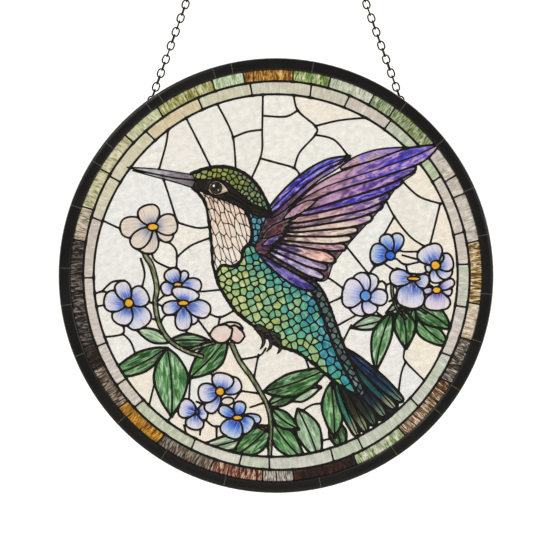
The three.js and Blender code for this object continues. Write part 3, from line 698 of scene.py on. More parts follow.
field = pane("field", FIELD_RIM, field_colour, "#FBFAF6", lead=1.5, grain=(1, 0.3), deep=0.9)
FIELD_LINES = [
    [(-74.3, 101), (-76, 89.7), (-81, 72)],
    [(-62.2, 109), (-53, 91), (-44.6, 74)],
    [(-41, 119), (-35, 108), (-30.1, 97), (-28.5, 86), (-27.7, 72)],
    [(-9, 126), (-9.5, 100.6), (-10.1, 83.6), (-17.4, 66)],
    [(-30.1, 95), (-20, 99), (-9.6, 100.6)],
    [(-10.2, 80.6), (-0.7, 78), (12.6, 74), (17, 68)],
    [(12.6, 74), (16.3, 84.8), (27.1, 97), (27.1, 103), (15, 113.9), (12, 126)],
    [(-9, 110.2), (6.6, 109.6), (15, 113.9)],
    [(27.1, 103), (44, 107), (63.4, 108.8)],
    [(27.1, 97), (40.4, 93.3), (51.5, 80)],
    [(-79.1, 71), (-73.7, 54.6), (-68.8, 38.9)],
    [(-68.8, 38.9), (-67, 36.4), (-53.7, 32.8), (-44, 34)],
    [(-43, 26.8), (-58.5, 20.7), (-68.6, 12.4)],
    [(-83, 24.3), (-75.5, 23.7), (-68.8, 17.1), (-68.8, 4)],
    [(-86, 16.9), (-82.8, 9.8), (-68.4, 3.0)],
    [(-121, 38.6), (-104, 30.6)],
    [(-93.4, 11.8), (-90.6, 1.3), (-92.4, -8)],
    [(-120, -11), (-113, -4.5), (-104, -3.3)],
    [(-124, -21.4), (-114, -19.6)],
    [(-105.7, -33), (-105.7, -40.2), (-119.5, -42.6)],
    [(-105.7, -40.2), (-100.3, -45.6), (-97, -54)],
    [(-52.5, -11.2), (-36, -9.6)],
    [(-48, -25.1), (-38.6, -28.7), (-27, -23.0)],
    [(-38.6, -28.7), (-39.8, -34)],
    [(-53.5, -30.9), (-46, -41)],
    [(-82.8, -70.3), (-87.6, -90)],
    [(-70, -94), (-75.7, -102)],
    [(-52, -62), (-41, -71)],
    [(-24.7, -79.5), (-9.4, -81.7)],
    [(-18, -91), (-6, -87)],
    [(-25.3, -58), (-11.4, -55.3), (-7, -50)],
    [(-15.6, -72.3), (-12, -54.3)],
    [(42.1, -34.7), (54.6, -27.7)],
    [(36.4, -19), (46.7, -14.4)],
    [(28.8, -3), (34.4, -0.9), (46.7, -9.1)],
    [(48.1, 20.5), (65.4, -1)],
    [(86.2, 66), (98.5, 54.6), (114.2, 49.3)],
    [(113.2, 49.6), (110, 36.4), (105.6, 19)],
    [(74.8, 54), (81.6, 40.7), (92.5, 26.8), (103.8, 19.3)],
    [(81.6, 40.7), (74.5, 28)],
    [(65.3, 2.6), (69.3, 8.8)],
    [(87, 14), (98, 11)],
    [(89.5, -48.3), (88.2, -54.1), (89.5, -59.5), (104, -74)],
    [(89.5, -59.5), (86.4, -67.4), (84, -84)],
    [(15.3, -95.6), (24.7, -89.2), (34, -88.2)],
    [(27.4, -115), (38.2, -112.2)],
    [(20.1, -56.9), (24.5, -68.6)],
    [(-3, -126), (-6, -118)],
    [(52, -34), (46, -46)],
    [(84, 18), (88, 16.5), (99, 16.5)], [(79, 12), (83, 11.5), (89.5, 7.5), (102, 10.5)], [(75, 8), (84, 2.5), (91, 1.5)],
    [(89.5, 7.5), (91, 1.5)], [(69.5, 7.5), (64, 1)], [(68.5, -6), (73, -3.8), (76, -6.5)],
    [(76, -6.5), (80, -5.5), (83.5, -9.5)], [(76, -6.5), (75.5, -12.5)], [(83.5, -9.5), (82.5, -15), (78, -18)],
    [(91, 1.5), (100, 1), (104, 2.5)], [(99, 0.5), (104, -5), (108, -7.5)], [(97.5, -21), (98, -13.5), (103, -12)],
    [(69, -25), (75, -29.5)], [(-90.5, -17), (-87, -18.5), (-82, -19.5)], [(-85, -30), (-81, -31)],
    [(-92.5, -34), (-90, -38), (-80, -40)], [(-82, -18), (-76, -13), (-72, -11)], [(-82, -19.5), (-75, -22.8)],
    [(-80, -33), (-76, -27.5), (-68, -27.5)], [(-63, -37), (-59, -42)], [(-116, -12), (-120, -11), (-126, -13)],
    [(-63.5, -103), (-61, -113)], [(-51, -97), (-52.5, -110)], [(-50, -98), (-44, -103.5), (-39, -104)],
    [(-38, -90), (-35, -94)], [(-41, -104), (-41, -112)], [(-60, -85), (-59, -70)], [(-28, -85), (-24, -79.5)],
    [(-50, -89), (-55, -87)], [(-72, -96), (-66, -90)],
]
for line in FIELD_LINES:
    score(field, line, 1.5)

# ---------- cutting the picture: one flat arrangement of every outline and line ----------


def cut_picture():
    """Finds every cell of glass and every stretch of lead between two cells."""
    points, edges, faces, owners = [], [], [], {}

    def lay(line, closed):
        start = len(points)
        points.extend(Vector((p[0], p[1])) for p in line)
        count = len(line)
        made = [(start + k, start + (k + 1) % count) for k in range(count if closed else count - 1)]
        edges.extend(made)
        return start, count, range(len(edges) - len(made), len(edges))

    for item in panes:
        start, count, _ = lay(item["outline"], True)
        faces.append(list(range(start, start + count)))
    for owner, line, width in scores:
        _, _, made = lay(line, False)
        for number in made:
            owners[number] = (owner, width)

    drawn = kdtree.KDTree(len(points))
    for index, place in enumerate(points):
        drawn.insert(place.to_3d(), index)
    drawn.balance()
    row, y = 0, -CHANNEL
    while y < CHANNEL:
        x = -CHANNEL + (GRAIN / 2 if row % 2 else 0)
        while x < CHANNEL:
            place = Vector((x, y, 0))
            if place.length < CHANNEL - 1 and drawn.find(place)[2] > 0.72:
                points.append(place.to_2d())
            x += GRAIN
        y += GRAIN * 0.866
        row += 1

    verts, out_edges, tris, _, edge_from, face_from = delaunay_2d_cdt(points, edges, faces, 0, 1e-4)
    labels = []
    for index in range(len(tris)):
        inside = field in face_from[index]
        fit = [number for number in sorted(face_from[index])
               if (number not in (inner_border, outer_border) if inside else panes[number]["over"])]
        labels.append(fit[0] if fit else None)

    beside = {}
    for index, tri in enumerate(tris):
        for k in range(3):
            beside.setdefault(tuple(sorted((tri[k], tri[(k + 1) % 3]))), []).append(index)
    parent = list(range(len(tris)))

    def find(i):
        while parent[i] != i:
            parent[i] = parent[parent[i]]
            i = parent[i]
        return i

    leads = {}
    source = {tuple(sorted(e)): edge_from[i] for i, e in enumerate(out_edges)}
    for key, pair in beside.items():
        if len(pair) < 2:
            continue
        one, other = labels[pair[0]], labels[pair[1]]
        if one is None or other is None:
            continue
        if one != other:
            leads[key] = panes[min(one, other)]["lead"]
            continue
        widths = [owners[n][1] for n in source.get(key, ()) if n in owners and owners[n][0] == one]
        if widths:
            leads[key] = max(widths)
        else:
            parent[find(pair[0])] = find(pair[1])
    cells = {}
    for index in range(len(tris)):
        if labels[index] is not None:
            cells.setdefault(find(index), []).append(index)
    return verts, tris, labels, cells, leads


verts, tris, labels, cells, leads = cut_picture()

# A sliver between lines is no pane anyone could cut: a cell of less than 0.35 mm² gets no glass and is left to the
# lead beads along its sides.


def cell_area(cell):
    total = 0
    for index in cell:
        a, b, c = (verts[i] for i in tris[index])
        total += abs((b - a).cross(c - a)) / 2
    return total


# ---------- making the glass ----------


def stand(x, y, depth):
    """A place on the picture, stood upright in the frame. Depth runs towards the back."""
    return (x * MM, depth * MM, CENTRE_Z + y * MM)


def colour_from(rule, x, y, chance):
    return linear(rule) if isinstance(rule, str) else rule(x, y, chance)


def glass_piece(name, wanted, ripple, ripple_size):
    """All the cells of some panes as domed, closed pieces of glass in one mesh."""
    places, faces, tints, wisps, deeps, painted_rim_highlights, bleeds, grains = [], [], [], [], [], [], [], []
    for cell in cells.values():
        label = labels[cell[0]]
        item = panes[label]
        if item["piece"] not in wanted:
            continue
        size = cell_area(cell)
        if size < 0.35:
            continue
        used, rim = {}, {}
        for index in cell:
            for k in range(3):
                key = (tris[index][k], tris[index][(k + 1) % 3])
                if (key[1], key[0]) in rim:
                    del rim[(key[1], key[0])]
                else:
                    rim[key] = True
        inwards = {}
        for a, b in rim:
            away = verts[b] - verts[a]
            normal = Vector((-away.y, away.x)).normalized()
            for corner in (a, b):
                inwards[corner] = inwards.get(corner, Vector((0, 0))) + normal
        middle = Vector((0, 0))
        for index in cell:
            for corner in tris[index]:
                used.setdefault(corner, len(used))
        for corner in used:
            middle += verts[corner]
        middle /= len(used)
        chance = luck.random()
        offset = Vector((luck.uniform(0, 400), luck.uniform(0, 400)))
        base = len(places)
        count = len(used)
        solid_tint = colour_from(item["tint"], middle.x, middle.y, chance)
        solid_wisp = colour_from(item["wisp"], middle.x, middle.y, chance)
        share = item["deep"] if isinstance(item["deep"], (int, float)) else None
        solid_deep = None if share is not None else colour_from(item["deep"], middle.x, middle.y, chance)
        for side in (-1, 1):
            for corner in used:
                place = verts[corner]
                edge = corner in inwards
                where = place + inwards[corner].normalized() * CLEARANCE if edge else place
                wave = noise.noise(Vector((place.x, place.y, side * 9 + label)) / ripple_size) * ripple
                depth = GLASS_HALF - DOME if edge else GLASS_HALF + wave
                places.append(stand(where.x, where.y, side * depth))
                tint = solid_tint if item["flat"] else colour_from(item["tint"], place.x, place.y, chance)
                tints.append(tint)
                wisps.append(solid_wisp)
                deeps.append(solid_deep or tuple(share * v for v in tint))
                # Each cell's edge vertices are marked for the painted highlight that the glass finish mixes in by
                # the lead.
                painted_rim_highlights.append(1.0 if edge else 0.0)
                bleeds.append(item["bleed"])
                flow = item["flow"](middle.x, middle.y) if item["flow"] else item["grain"]
                flow = flow.normalized()
                beside = Vector((-flow.y, flow.x))
                grains.append((place.dot(flow) + offset.x, place.dot(beside) + offset.y))
        for index in cell:
            a, b, c = (used[corner] for corner in tris[index])
            faces.append((base + a, base + b, base + c))
            faces.append((base + count + a, base + count + c, base + count + b))
        for a, b in rim:
            a, b = used[a], used[b]
            faces.append((base + b, base + a, base + count + a, base + count + b))
    mesh = bpy.data.meshes.new(name)
    mesh.from_pydata(places, [], faces)
    for label_, values, kind in (("tint", tints, "FLOAT_COLOR"), ("wisp", wisps, "FLOAT_COLOR"),
                                 ("deep", deeps, "FLOAT_COLOR")):
        layer = mesh.attributes.new(label_, kind, "POINT")
        layer.data.foreach_set("color", [v for c in values for v in (*c, 1.0)])
    for label_, values in (("rim", painted_rim_highlights), ("bleed", bleeds)):
        mesh.attributes.new(label_, "FLOAT", "POINT").data.foreach_set("value", values)
    uv = mesh.uv_layers.new(name="grain")
    flat = []
    for loop in mesh.loops:
        flat += [grains[loop.vertex_index][0] * MM, grains[loop.vertex_index][1] * MM]
    uv.data.foreach_set("uv", flat)
    thing = bpy.data.objects.new(name, mesh)
    bpy.context.collection.objects.link(thing)
    bpy.ops.object.select_all(action="DESELECT")
    thing.select_set(True)
    bpy.context.view_layer.objects.active = thing
    bpy.ops.object.shade_smooth_by_angle(angle=math.radians(42))
    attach(thing, "root")
    return thing


# ---------- making the lead ----------

SECTION = [(1.0, 0.62), (0.72, 0.90), (0.0, 1.0), (-0.72, 0.90), (-1.0, 0.62)]
SECTION += [(x, -y) for x, y in SECTION[::-1]]


def lead_runs():
    """The stretches of lead, each a run of places from one joint to the next, with its width."""
    left = set(leads)
    runs = []

    def walk(start, onward):
        run = [start, onward]
        left.discard(tuple(sorted((start, onward))))
        while len(around[run[-1]]) == 2:
            ahead = [p for p in around[run[-1]] if p != run[-2]]
            if not ahead or tuple(sorted((run[-1], ahead[0]))) not in left:
                break
            left.discard(tuple(sorted((run[-1], ahead[0]))))
            run.append(ahead[0])
        return run

    for place, near in around.items():
        if len(near) != 2:
            for other in near:
                if tuple(sorted((place, other))) in left:
                    runs.append(walk(place, other))
    while left:
        a, b = next(iter(left))
        runs.append(walk(a, b))
    return runs


def divided(points, widths, step):
    """The same run with more places on it, so that the bead can swell towards a joint."""
    out, wide = [points[0]], []
    for k, width in enumerate(widths):
        pieces = max(1, math.ceil((points[k + 1] - points[k]).length / step))
        for piece in range(1, pieces + 1):
            out.append(points[k].lerp(points[k + 1], piece / pieces))
            wide.append(width)
    return out, wide


around = {}
for a, b in leads:
    around.setdefault(a, []).append(b)
    around.setdefault(b, []).append(a)


def bead_mesh(name, chosen):
    """Soldered beads: a rounded section swept along every run, with rounded ends."""
    places, faces = [], []
    for run in chosen:
        points = [verts[i] for i in run]
        widths = [leads[tuple(sorted((run[k], run[k + 1])))] for k in range(len(run) - 1)]
        closed = run[0] == run[-1] and len(run) > 3
        if (points[0] - points[-1]).length < 0.05 and not closed and len(points) < 3:
            continue
        fine = max(widths) < 1.2
        points, widths = divided(points, widths, 0.75 if fine else 1.5)
        joined = [len(around[run[0]]) > 2, len(around[run[-1]]) > 2]
        total = len(points)
        rings = []
        count = total - (1 if closed else 0)
        for k in range(count):
            if closed:
                before, after = points[(k - 1) % count], points[(k + 1) % count]
            else:
                before, after = points[max(k - 1, 0)], points[min(k + 1, count - 1)]
            along = after - before
            if along.length < 1e-6:
                along = Vector((1, 0))
            beside = Vector((-along.y, along.x)).normalized()
            width = (widths[max(k - 1, 0)] + widths[min(k, len(widths) - 1)]) / 2
            width *= 1 + 0.12 * noise.noise(Vector((points[k].x, points[k].y, 3)) / 5)
            swell = 0.0
            for meets, end in zip(joined, (points[0], points[-1])):
                if meets and not closed:
                    swell = max(swell, math.exp(-((points[k] - end).length / (0.85 * width)) ** 2))
            rings.append((points[k], beside, width * (1 + (0.6 if fine else 0.35) * swell), 1.0))
        if not closed:
            for end, sign in ((0, -1), (-1, 1)):
                place, beside, width, _ = rings[end]
                out = Vector((beside.y, -beside.x)) * sign
                cap = (place + out * width * 0.3, beside, width * 0.62, 0.9)
                if end == 0:
                    rings.insert(0, cap)
                else:
                    rings.append(cap)
        base = len(places)
        sides_ = len(SECTION)
        for place, beside, width, tall in rings:
            height = (GLASS_HALF + 0.18 + 0.24 * width) * tall
            for sx, sy in SECTION:
                where = place + beside * sx * width / 2
                places.append(stand(where.x, where.y, -sy * height))
        total = len(rings)
        for k in range(total if closed else total - 1):
            for s in range(sides_):
                a = base + k * sides_ + s
                b = base + k * sides_ + (s + 1) % sides_
                c = base + ((k + 1) % total) * sides_ + (s + 1) % sides_
                d = base + ((k + 1) % total) * sides_ + s
                faces.append((a, b, c, d))
        if not closed:
            faces.append(tuple(base + s for s in range(sides_))[::-1])
            faces.append(tuple(base + (total - 1) * sides_ + s for s in range(sides_)))
    mesh = bpy.data.meshes.new(name)
    mesh.from_pydata(places, [], faces)
    thing = bpy.data.objects.new(name, mesh)
    bpy.context.collection.objects.link(thing)
    bpy.ops.object.select_all(action="DESELECT")
    thing.select_set(True)
    bpy.context.view_layer.objects.active = thing
    bpy.ops.object.mode_set(mode="EDIT")
    bpy.ops.mesh.select_all(action="SELECT")
    bpy.ops.mesh.normals_make_consistent(inside=False)
    bpy.ops.object.mode_set(mode="OBJECT")
    bpy.ops.object.shade_smooth_by_angle(angle=math.radians(50))
    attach(thing, "root")
    return thing


# ---------- finishes ----------


def node(tree, kind, settings=None, **links):
    """Adds a node, sets its values and links its sockets. A socket is named as Blender names it."""
    made = tree.nodes.new(kind)
    for key, value in (settings or {}).items():
        if isinstance(key, str) and hasattr(made, key):
            setattr(made, key, value)
        else:
            made.inputs[key].default_value = value
    for key, value in links.items():
        slot = int(key[1:]) if key[0] == "i" and key[1:].isdigit() else key.replace("_", " ")
        tree.links.new(value, made.inputs[slot])
    return made


def surface(name):
    material = bpy.data.materials.new(name)
    material.use_nodes = True
    tree = material.node_tree
    shader = tree.nodes["Principled BSDF"]
    return material, tree, shader


def art_glass(name, along, across, spread=0.16, clear=0.85, rough=0.28, bump=0.25, bump_size=3.0, edge=0.2,
              depth=0.18, distortion=0.6):
    """Hand-rolled opalescent sheet. Dark, middle and light colours are drawn out in wisps along the sheet's
    grain, the rolled surface waves softly, and by the lead each cell's colour is mixed towards pale cream,
    by the share edge: a painted highlight."""
    material, tree, shader = surface(name)
    uv = node(tree, "ShaderNodeUVMap", {"uv_map": "grain"}).outputs["UV"]
    tint, wisp, deep = (node(tree, "ShaderNodeAttribute", {"attribute_name": kind}).outputs["Color"]
                        for kind in ("tint", "wisp", "deep"))
    rim, bleed = (node(tree, "ShaderNodeAttribute", {"attribute_name": kind}).outputs["Fac"]
                  for kind in ("rim", "bleed"))
    drawn = node(tree, "ShaderNodeMapping", {"Scale": (1 / (along * MM), 1 / (across * MM), 1)}, Vector=uv)
    streak = node(tree, "ShaderNodeTexNoise", {"Scale": 1.0, "Detail": 4.0, "Roughness": 0.6,
                                               "Distortion": distortion}, Vector=drawn.outputs[0])
    moved = node(tree, "ShaderNodeMath", {"operation": "ADD"}, i0=streak.outputs["Fac"], i1=bleed)
    dark = node(tree, "ShaderNodeMapRange", {1: 0.5 - spread, 2: 0.5, 3: 1.0, 4: 0.0}, i0=moved.outputs[0])
    light = node(tree, "ShaderNodeMapRange", {1: 0.5, 2: 0.5 + spread, 3: 0.0, 4: 1.0}, i0=moved.outputs[0])
    lighter = node(tree, "ShaderNodeMix", {"data_type": "RGBA"}, i0=light.outputs[0], i6=tint, i7=wisp)
    mixed = node(tree, "ShaderNodeMix", {"data_type": "RGBA"}, i0=dark.outputs[0], i6=lighter.outputs[2],
                 i7=deep)
    cloud = node(tree, "ShaderNodeTexNoise", {"Scale": 1 / (4.5 * MM), "Detail": 2.0}, Vector=uv)
    shade = node(tree, "ShaderNodeMapRange", {1: 0.3, 2: 0.7, 3: 1 - depth, 4: 1 + depth},
                 i0=cloud.outputs["Fac"])
    toned = node(tree, "ShaderNodeVectorMath", {"operation": "SCALE"}, i0=mixed.outputs[2])
    tree.links.new(shade.outputs[0], toned.inputs[3])
    # Painted highlight: near each cell's edge by the lead, the colour is mixed towards pale cream.
    painted_edge_highlight = node(tree, "ShaderNodeMath", {"operation": "MULTIPLY", 1: edge}, i0=rim)
    lit = node(tree, "ShaderNodeMix", {"data_type": "RGBA", 7: (0.9, 0.88, 0.82, 1)}, i0=painted_edge_highlight.outputs[0],
               i6=toned.outputs[0])
    tree.links.new(lit.outputs[2], shader.inputs["Base Color"])
    waves = node(tree, "ShaderNodeTexNoise", {"Scale": 1 / (bump_size * MM), "Detail": 2.0}, Vector=uv)
    raised = node(tree, "ShaderNodeBump", {"Strength": bump, "Distance": 0.0004}, Height=waves.outputs["Fac"])
    tree.links.new(raised.outputs[0], shader.inputs["Normal"])
    shader.inputs["Roughness"].default_value = rough
    shader.inputs["Transmission Weight"].default_value = clear
    shader.inputs["IOR"].default_value = 1.5
    return material


def black_metal(name, code, light, rough, metallic, size, bump=0.15):
    """Metal under a black patina or lacquer: worn a little lighter in patches, with a soft sheen."""
    material, tree, shader = surface(name)
    where = node(tree, "ShaderNodeTexCoord").outputs["Object"]
    patches = node(tree, "ShaderNodeTexNoise", {"Scale": 1 / (size * MM), "Detail": 3.0}, Vector=where)
    factor = node(tree, "ShaderNodeMapRange", {1: 0.45, 2: 0.75, 3: 0.0, 4: 1.0}, i0=patches.outputs["Fac"])
    colour = node(tree, "ShaderNodeMix", {"data_type": "RGBA", 6: (*linear(code), 1), 7: (*linear(light), 1)},
                  i0=factor.outputs[0])
    tree.links.new(colour.outputs[2], shader.inputs["Base Color"])
    dull = node(tree, "ShaderNodeMapRange", {1: 0.3, 2: 0.7, 3: rough - 0.08, 4: rough + 0.12},
                i0=patches.outputs["Fac"])
    tree.links.new(dull.outputs[0], shader.inputs["Roughness"])
    fine = node(tree, "ShaderNodeTexNoise", {"Scale": 1 / (size * 0.2 * MM), "Detail": 2.0}, Vector=where)
    raised = node(tree, "ShaderNodeBump", {"Strength": bump, "Distance": 0.0003}, Height=fine.outputs["Fac"])
    tree.links.new(raised.outputs[0], shader.inputs["Normal"])
    shader.inputs["Metallic"].default_value = metallic
    return material


# The edge value of each glass is the strength of its painted highlight by the lead.
FEATHER_GLASS = art_glass("streaky violet art glass", 11, 3.4, 0.10, distortion=1.2)
SCALE_GLASS = art_glass("small cut opalescent glass", 5, 2.5, 0.3, edge=0.12, depth=0.12)
THROAT_GLASS = art_glass("cream opalescent glass", 6, 1.6, 0.3, edge=0.1, depth=0.08)
DARK_GLASS = art_glass("dark streaky glass", 12, 1.5, 0.16, rough=0.2, edge=0.05)
PETAL_GLASS = art_glass("petal glass with blue veins", 9, 0.8, 0.2, edge=0.2, depth=0.05, distortion=0.3)
LEAF_GLASS = art_glass("green streaky glass", 10, 1.5, 0.12, edge=0.14, distortion=0.8)
BORDER_GLASS = art_glass("wispy border glass", 9, 1.7, 0.12, edge=0.08, distortion=1.6)
PALE_BORDER_GLASS = art_glass("pale wispy glass", 8, 1.3, 0.2, bump=0.4, edge=0.15, depth=0.06)
FIELD_GLASS = art_glass("rippled white glass", 5, 2.2, 0.3, rough=0.22, bump=0.7, bump_size=2.2, edge=0.08,
                        depth=0.06, distortion=1.2)

SOLDER = black_metal("black patinated solder", "#0C0806", "#1A130E", 0.42, 0.3, 6)
LACQUER = black_metal("black lacquered metal", "#060404", "#100C0A", 0.3, 0.2, 18)
CHAIN_BLACK = black_metal("black plated steel", "#0C0A0A", "#1C1917", 0.3, 0.6, 4)

GLASSES = [
    ("glass_wing", ["wing"], FEATHER_GLASS, 0.12, 3.2, "glass_mauve",
     ["wing_primary", "wing_covert", "wing_feather_1", "wing_feather_2", "wing_feather_3", "wing_feather_4",
      "wing_feather_5", "wing_feather_6", "wing_top_band"]),
    ("glass_crown", ["bird_crown"], SCALE_GLASS, 0.1, 3, "glass_crown", ["bird_crown"]),
    ("glass_cheek", ["bird_cheek", "bird_feet"], DARK_GLASS, 0.1, 3, "glass_cheek", ["bird_cheek"]),
    ("glass_eye", ["bird_eye"], DARK_GLASS, 0.05, 3, "glass_cheek", []),
    ("glass_bill", ["bird_bill"], SCALE_GLASS, 0.08, 4, "glass_bill", ["bird_bill"]),
    ("glass_throat", ["bird_throat"], THROAT_GLASS, 0.08, 3, "glass_throat", ["bird_throat"]),
    ("glass_neck", ["bird_neck"], SCALE_GLASS, 0.1, 3, "glass_neck", ["bird_neck"]),
    ("glass_back", ["bird_back"], SCALE_GLASS, 0.1, 3, "glass_back", ["bird_back"]),
    ("glass_belly", ["bird_belly"], SCALE_GLASS, 0.1, 3, "glass_belly", ["bird_belly"]),
    ("glass_tail", ["tail"], DARK_GLASS, 0.12, 4, "glass_navy", ["tail_upper", "tail_middle", "tail_lower"]),
    ("glass_petals", ["blossom_petals"], PETAL_GLASS, 0.08, 3, "glass_petal",
     ["blossom_left_high", "blossom_left_blue", "blossom_left_front", "blossom_left_back",
      "blossom_right_blue", "blossom_right_pale", "blossom_right_low", "blossom_right_high",
      "blossom_right_back", "blossom_low_right", "blossom_low_high", "blossom_low_left"]),
    ("glass_hearts", ["blossom_heart"], SCALE_GLASS, 0.05, 3, "glass_petal", []),
    ("glass_bud", ["rose_bud"], THROAT_GLASS, 0.08, 4, "glass_blush", ["rose_bud"]),
    ("glass_stems", ["stems"], LEAF_GLASS, 0.08, 4, "glass_stem", ["stem_left", "stem_low"]),
    ("glass_leaves", ["leaves"], LEAF_GLASS, 0.12, 4, "glass_leaf",
     ["leaf_left_low", "leaf_left_down", "leaf_left_right", "leaf_mid_high", "leaf_mid_fold",
      "leaf_low_left", "leaf_tail", "leaf_right_left", "leaf_right_mid", "leaf_right_far"]),
    ("glass_outer_border", ["border_outer"], BORDER_GLASS, 0.12, 4, "glass_umber", ["border_outer"]),
    ("glass_inner_border", ["border_inner"], PALE_BORDER_GLASS, 0.12, 4, "glass_sage", ["border_inner"]),
    ("glass_field", ["field"], FIELD_GLASS, 0.22, 2.6, "glass_field",
     ["field_pane_1", "field_pane_2", "field_pane_3", "field_pane_4", "field_pane_5"]),
]
for name, wanted, material, ripple, ripple_size, slot, stands_for in GLASSES:
    piece = glass_piece(name, wanted, ripple, ripple_size)
    piece.data.materials.append(material)
    if stands_for:
        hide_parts(*stands_for)

runs = lead_runs()


def run_width(run):
    return max(leads[tuple(sorted((run[k], run[k + 1])))] for k in range(len(run) - 1))


for name, chosen in (("lead_lines_wide", [r for r in runs if run_width(r) > 0.95]),
                     ("lead_lines_fine", [r for r in runs if run_width(r) <= 0.95])):
    piece = bead_mesh(name, chosen)
    piece.data.materials.append(SOLDER)
    if name == "lead_lines_wide":
        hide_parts("lead_lines")

# ---------- the rim ----------


def deselect():
    bpy.ops.object.select_all(action="DESELECT")


def new_mesh(name, places, edges=(), faces=()):
    mesh = bpy.data.meshes.new(name)
    mesh.from_pydata(places, edges, faces)
    thing = bpy.data.objects.new(name, mesh)
    bpy.context.collection.objects.link(thing)
    deselect()
    thing.select_set(True)
    bpy.context.view_layer.objects.active = thing
    return thing


def tidy_mesh(thing, angle=40):
    deselect()
    thing.select_set(True)
    bpy.context.view_layer.objects.active = thing
    bpy.ops.object.mode_set(mode="EDIT")
    bpy.ops.mesh.select_all(action="SELECT")
    bpy.ops.mesh.remove_doubles(threshold=1e-6)
    bpy.ops.mesh.normals_make_consistent(inside=False)
    bpy.ops.object.mode_set(mode="OBJECT")
    bpy.ops.object.shade_smooth_by_angle(angle=math.radians(angle))


# The rim's section: a channel with a rolled lip inside, a flat face and a rounded outer edge.
half = [(142.2, 1.8), (141.7, 2.6), (141.9, 3.5), (142.7, 3.95), (144.2, 3.7), (147.0, 3.75), (148.4, 3.6),
        (149.3, 3.1), (149.85, 2.1), (150.0, 0.9)]
section = [(r, -d) for r, d in half] + [(r, d) for r, d in half[::-1]]
section += [(144.8, 1.8), (144.8, -1.8)]
places = [(r * MM, d * MM, CENTRE_Z) for r, d in section]
rim = new_mesh("rim_band", places, [(k, (k + 1) % len(places)) for k in range(len(places))])
bpy.ops.object.mode_set(mode="EDIT")
bpy.ops.mesh.select_all(action="SELECT")
bpy.ops.mesh.spin(steps=144, angle=2 * math.pi, center=(0, 0, CENTRE_Z), axis=(0, 1, 0), use_auto_merge=True)
bpy.ops.object.mode_set(mode="OBJECT")
tidy_mesh(rim, 30)
rim.data.materials.append(LACQUER)
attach(rim, "root")
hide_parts("frame_rim")

# The rim was closed from short lengths of channel: a fine pale line shows where each two of them meet. Its pale
# grey is a painted highlight, the light that the joint's edges catch.
RIM_JOINTS = [10, 37, 51, 66, 79, 95, 108, 122, 130, 146, 168, 194, 212, 227, 248, 262, 272, 289, 302, 308,
              323, 327, 343, 348]
# Painted highlight: the joint strips are pale grey where the joint's edges catch the light.
JOINT_HIGHLIGHT_METAL = black_metal("joint line with painted highlight", "#6A625A", "#8E867C", 0.4, 0.6, 2)
places, faces = [], []
for joint in RIM_JOINTS:
    way = polar(1, joint)
    aside = Vector((way.y, -way.x)) * 0.22
    base = len(places)
    for r, d in half[2:-1]:
        for lift in (0.04, -0.2):
            for sign in (-1, 1):
                spot = way * (r + (lift if r > 149 else 0)) + aside * sign
                places.append(stand(spot.x, spot.y, -(d + lift)))
    rows_ = len(half[2:-1])
    for k in range(rows_ - 1):
        a = base + 4 * k
        faces += [(a, a + 1, a + 5, a + 4), (a + 2, a + 6, a + 7, a + 3), (a, a + 4, a + 6, a + 2),
                  (a + 1, a + 3, a + 7, a + 5)]
    faces += [(base, base + 2, base + 3, base + 1)]
    a = base + 4 * (rows_ - 1)
    faces += [(a, a + 1, a + 3, a + 2)]
seams = new_mesh("rim_joint_lines", places, (), faces)
tidy_mesh(seams)
seams.data.materials.append(JOINT_HIGHLIGHT_METAL)
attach(seams, "root")

# ---------- the ring, the two chains and the staples they hook into ----------

RING_CENTRE = Vector((0, 0, -6))
RING_RADIUS, RING_WIRE = 7.0, 2.0
LINK_LENGTH, LINK_WIDTH, LINK_WIRE, LINKS = 7.2, 5.6, 1.1, 50
LOOP_RADIUS, LOOP_WIRE, LOOP_SWING, LOOP_PLACE = 2.6, 1.4, 36, 145.4
FIRST_LINK = RING_RADIUS - RING_WIRE / 2 - LINK_WIRE / 2 - 0.3

bpy.ops.mesh.primitive_torus_add(major_segments=72, minor_segments=20, major_radius=RING_RADIUS * MM,
                                 minor_radius=RING_WIRE / 2 * MM, location=RING_CENTRE * MM,
                                 rotation=(math.radians(90), 0, 0))
ring = bpy.context.object
ring.name = "hook_ring"
bpy.ops.object.transform_apply(location=True, rotation=True, scale=True)
bpy.ops.object.shade_smooth()
ring.data.materials.append(CHAIN_BLACK)
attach(ring, "root")
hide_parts("hanging_ring")


def wire(line, radius, around_=10, closed=True):
    """Round wire along a line of places."""
    places_, faces_ = [], []
    count = len(line)
    for k, place in enumerate(line):
        ahead = line[(k + 1) % count] if closed else line[min(k + 1, count - 1)]
        behind = line[k - 1] if closed else line[max(k - 1, 0)]
        along = (ahead - behind).normalized()
        one = along.orthogonal().normalized() if not places_ else (one - along * one.dot(along)).normalized()
        two = along.cross(one)
        for step in range(around_):
            turn = 2 * math.pi * step / around_
            places_.append(place + (one * math.cos(turn) + two * math.sin(turn)) * radius)
    for k in range(count if closed else count - 1):
        for step in range(around_):
            a, b = k * around_ + step, k * around_ + (step + 1) % around_
            c, d = ((k + 1) % count) * around_ + (step + 1) % around_, ((k + 1) % count) * around_ + step
            faces_.append((a, b, c, d))
    if not closed:
        faces_ += [tuple(range(around_))[::-1], tuple(range((count - 1) * around_, count * around_))]
    return places_, faces_


link_line = []
straight = (LINK_LENGTH - LINK_WIDTH) / 2
bend = (LINK_WIDTH - LINK_WIRE) / 2
for end in (1, -1):
    for step in range(9):
        turn = math.pi * step / 8
        link_line.append(Vector((end * bend * math.cos(turn), end * (straight + bend * math.sin(turn)), 0)))
link_places, link_faces = wire(link_line, LINK_WIRE / 2, 8)

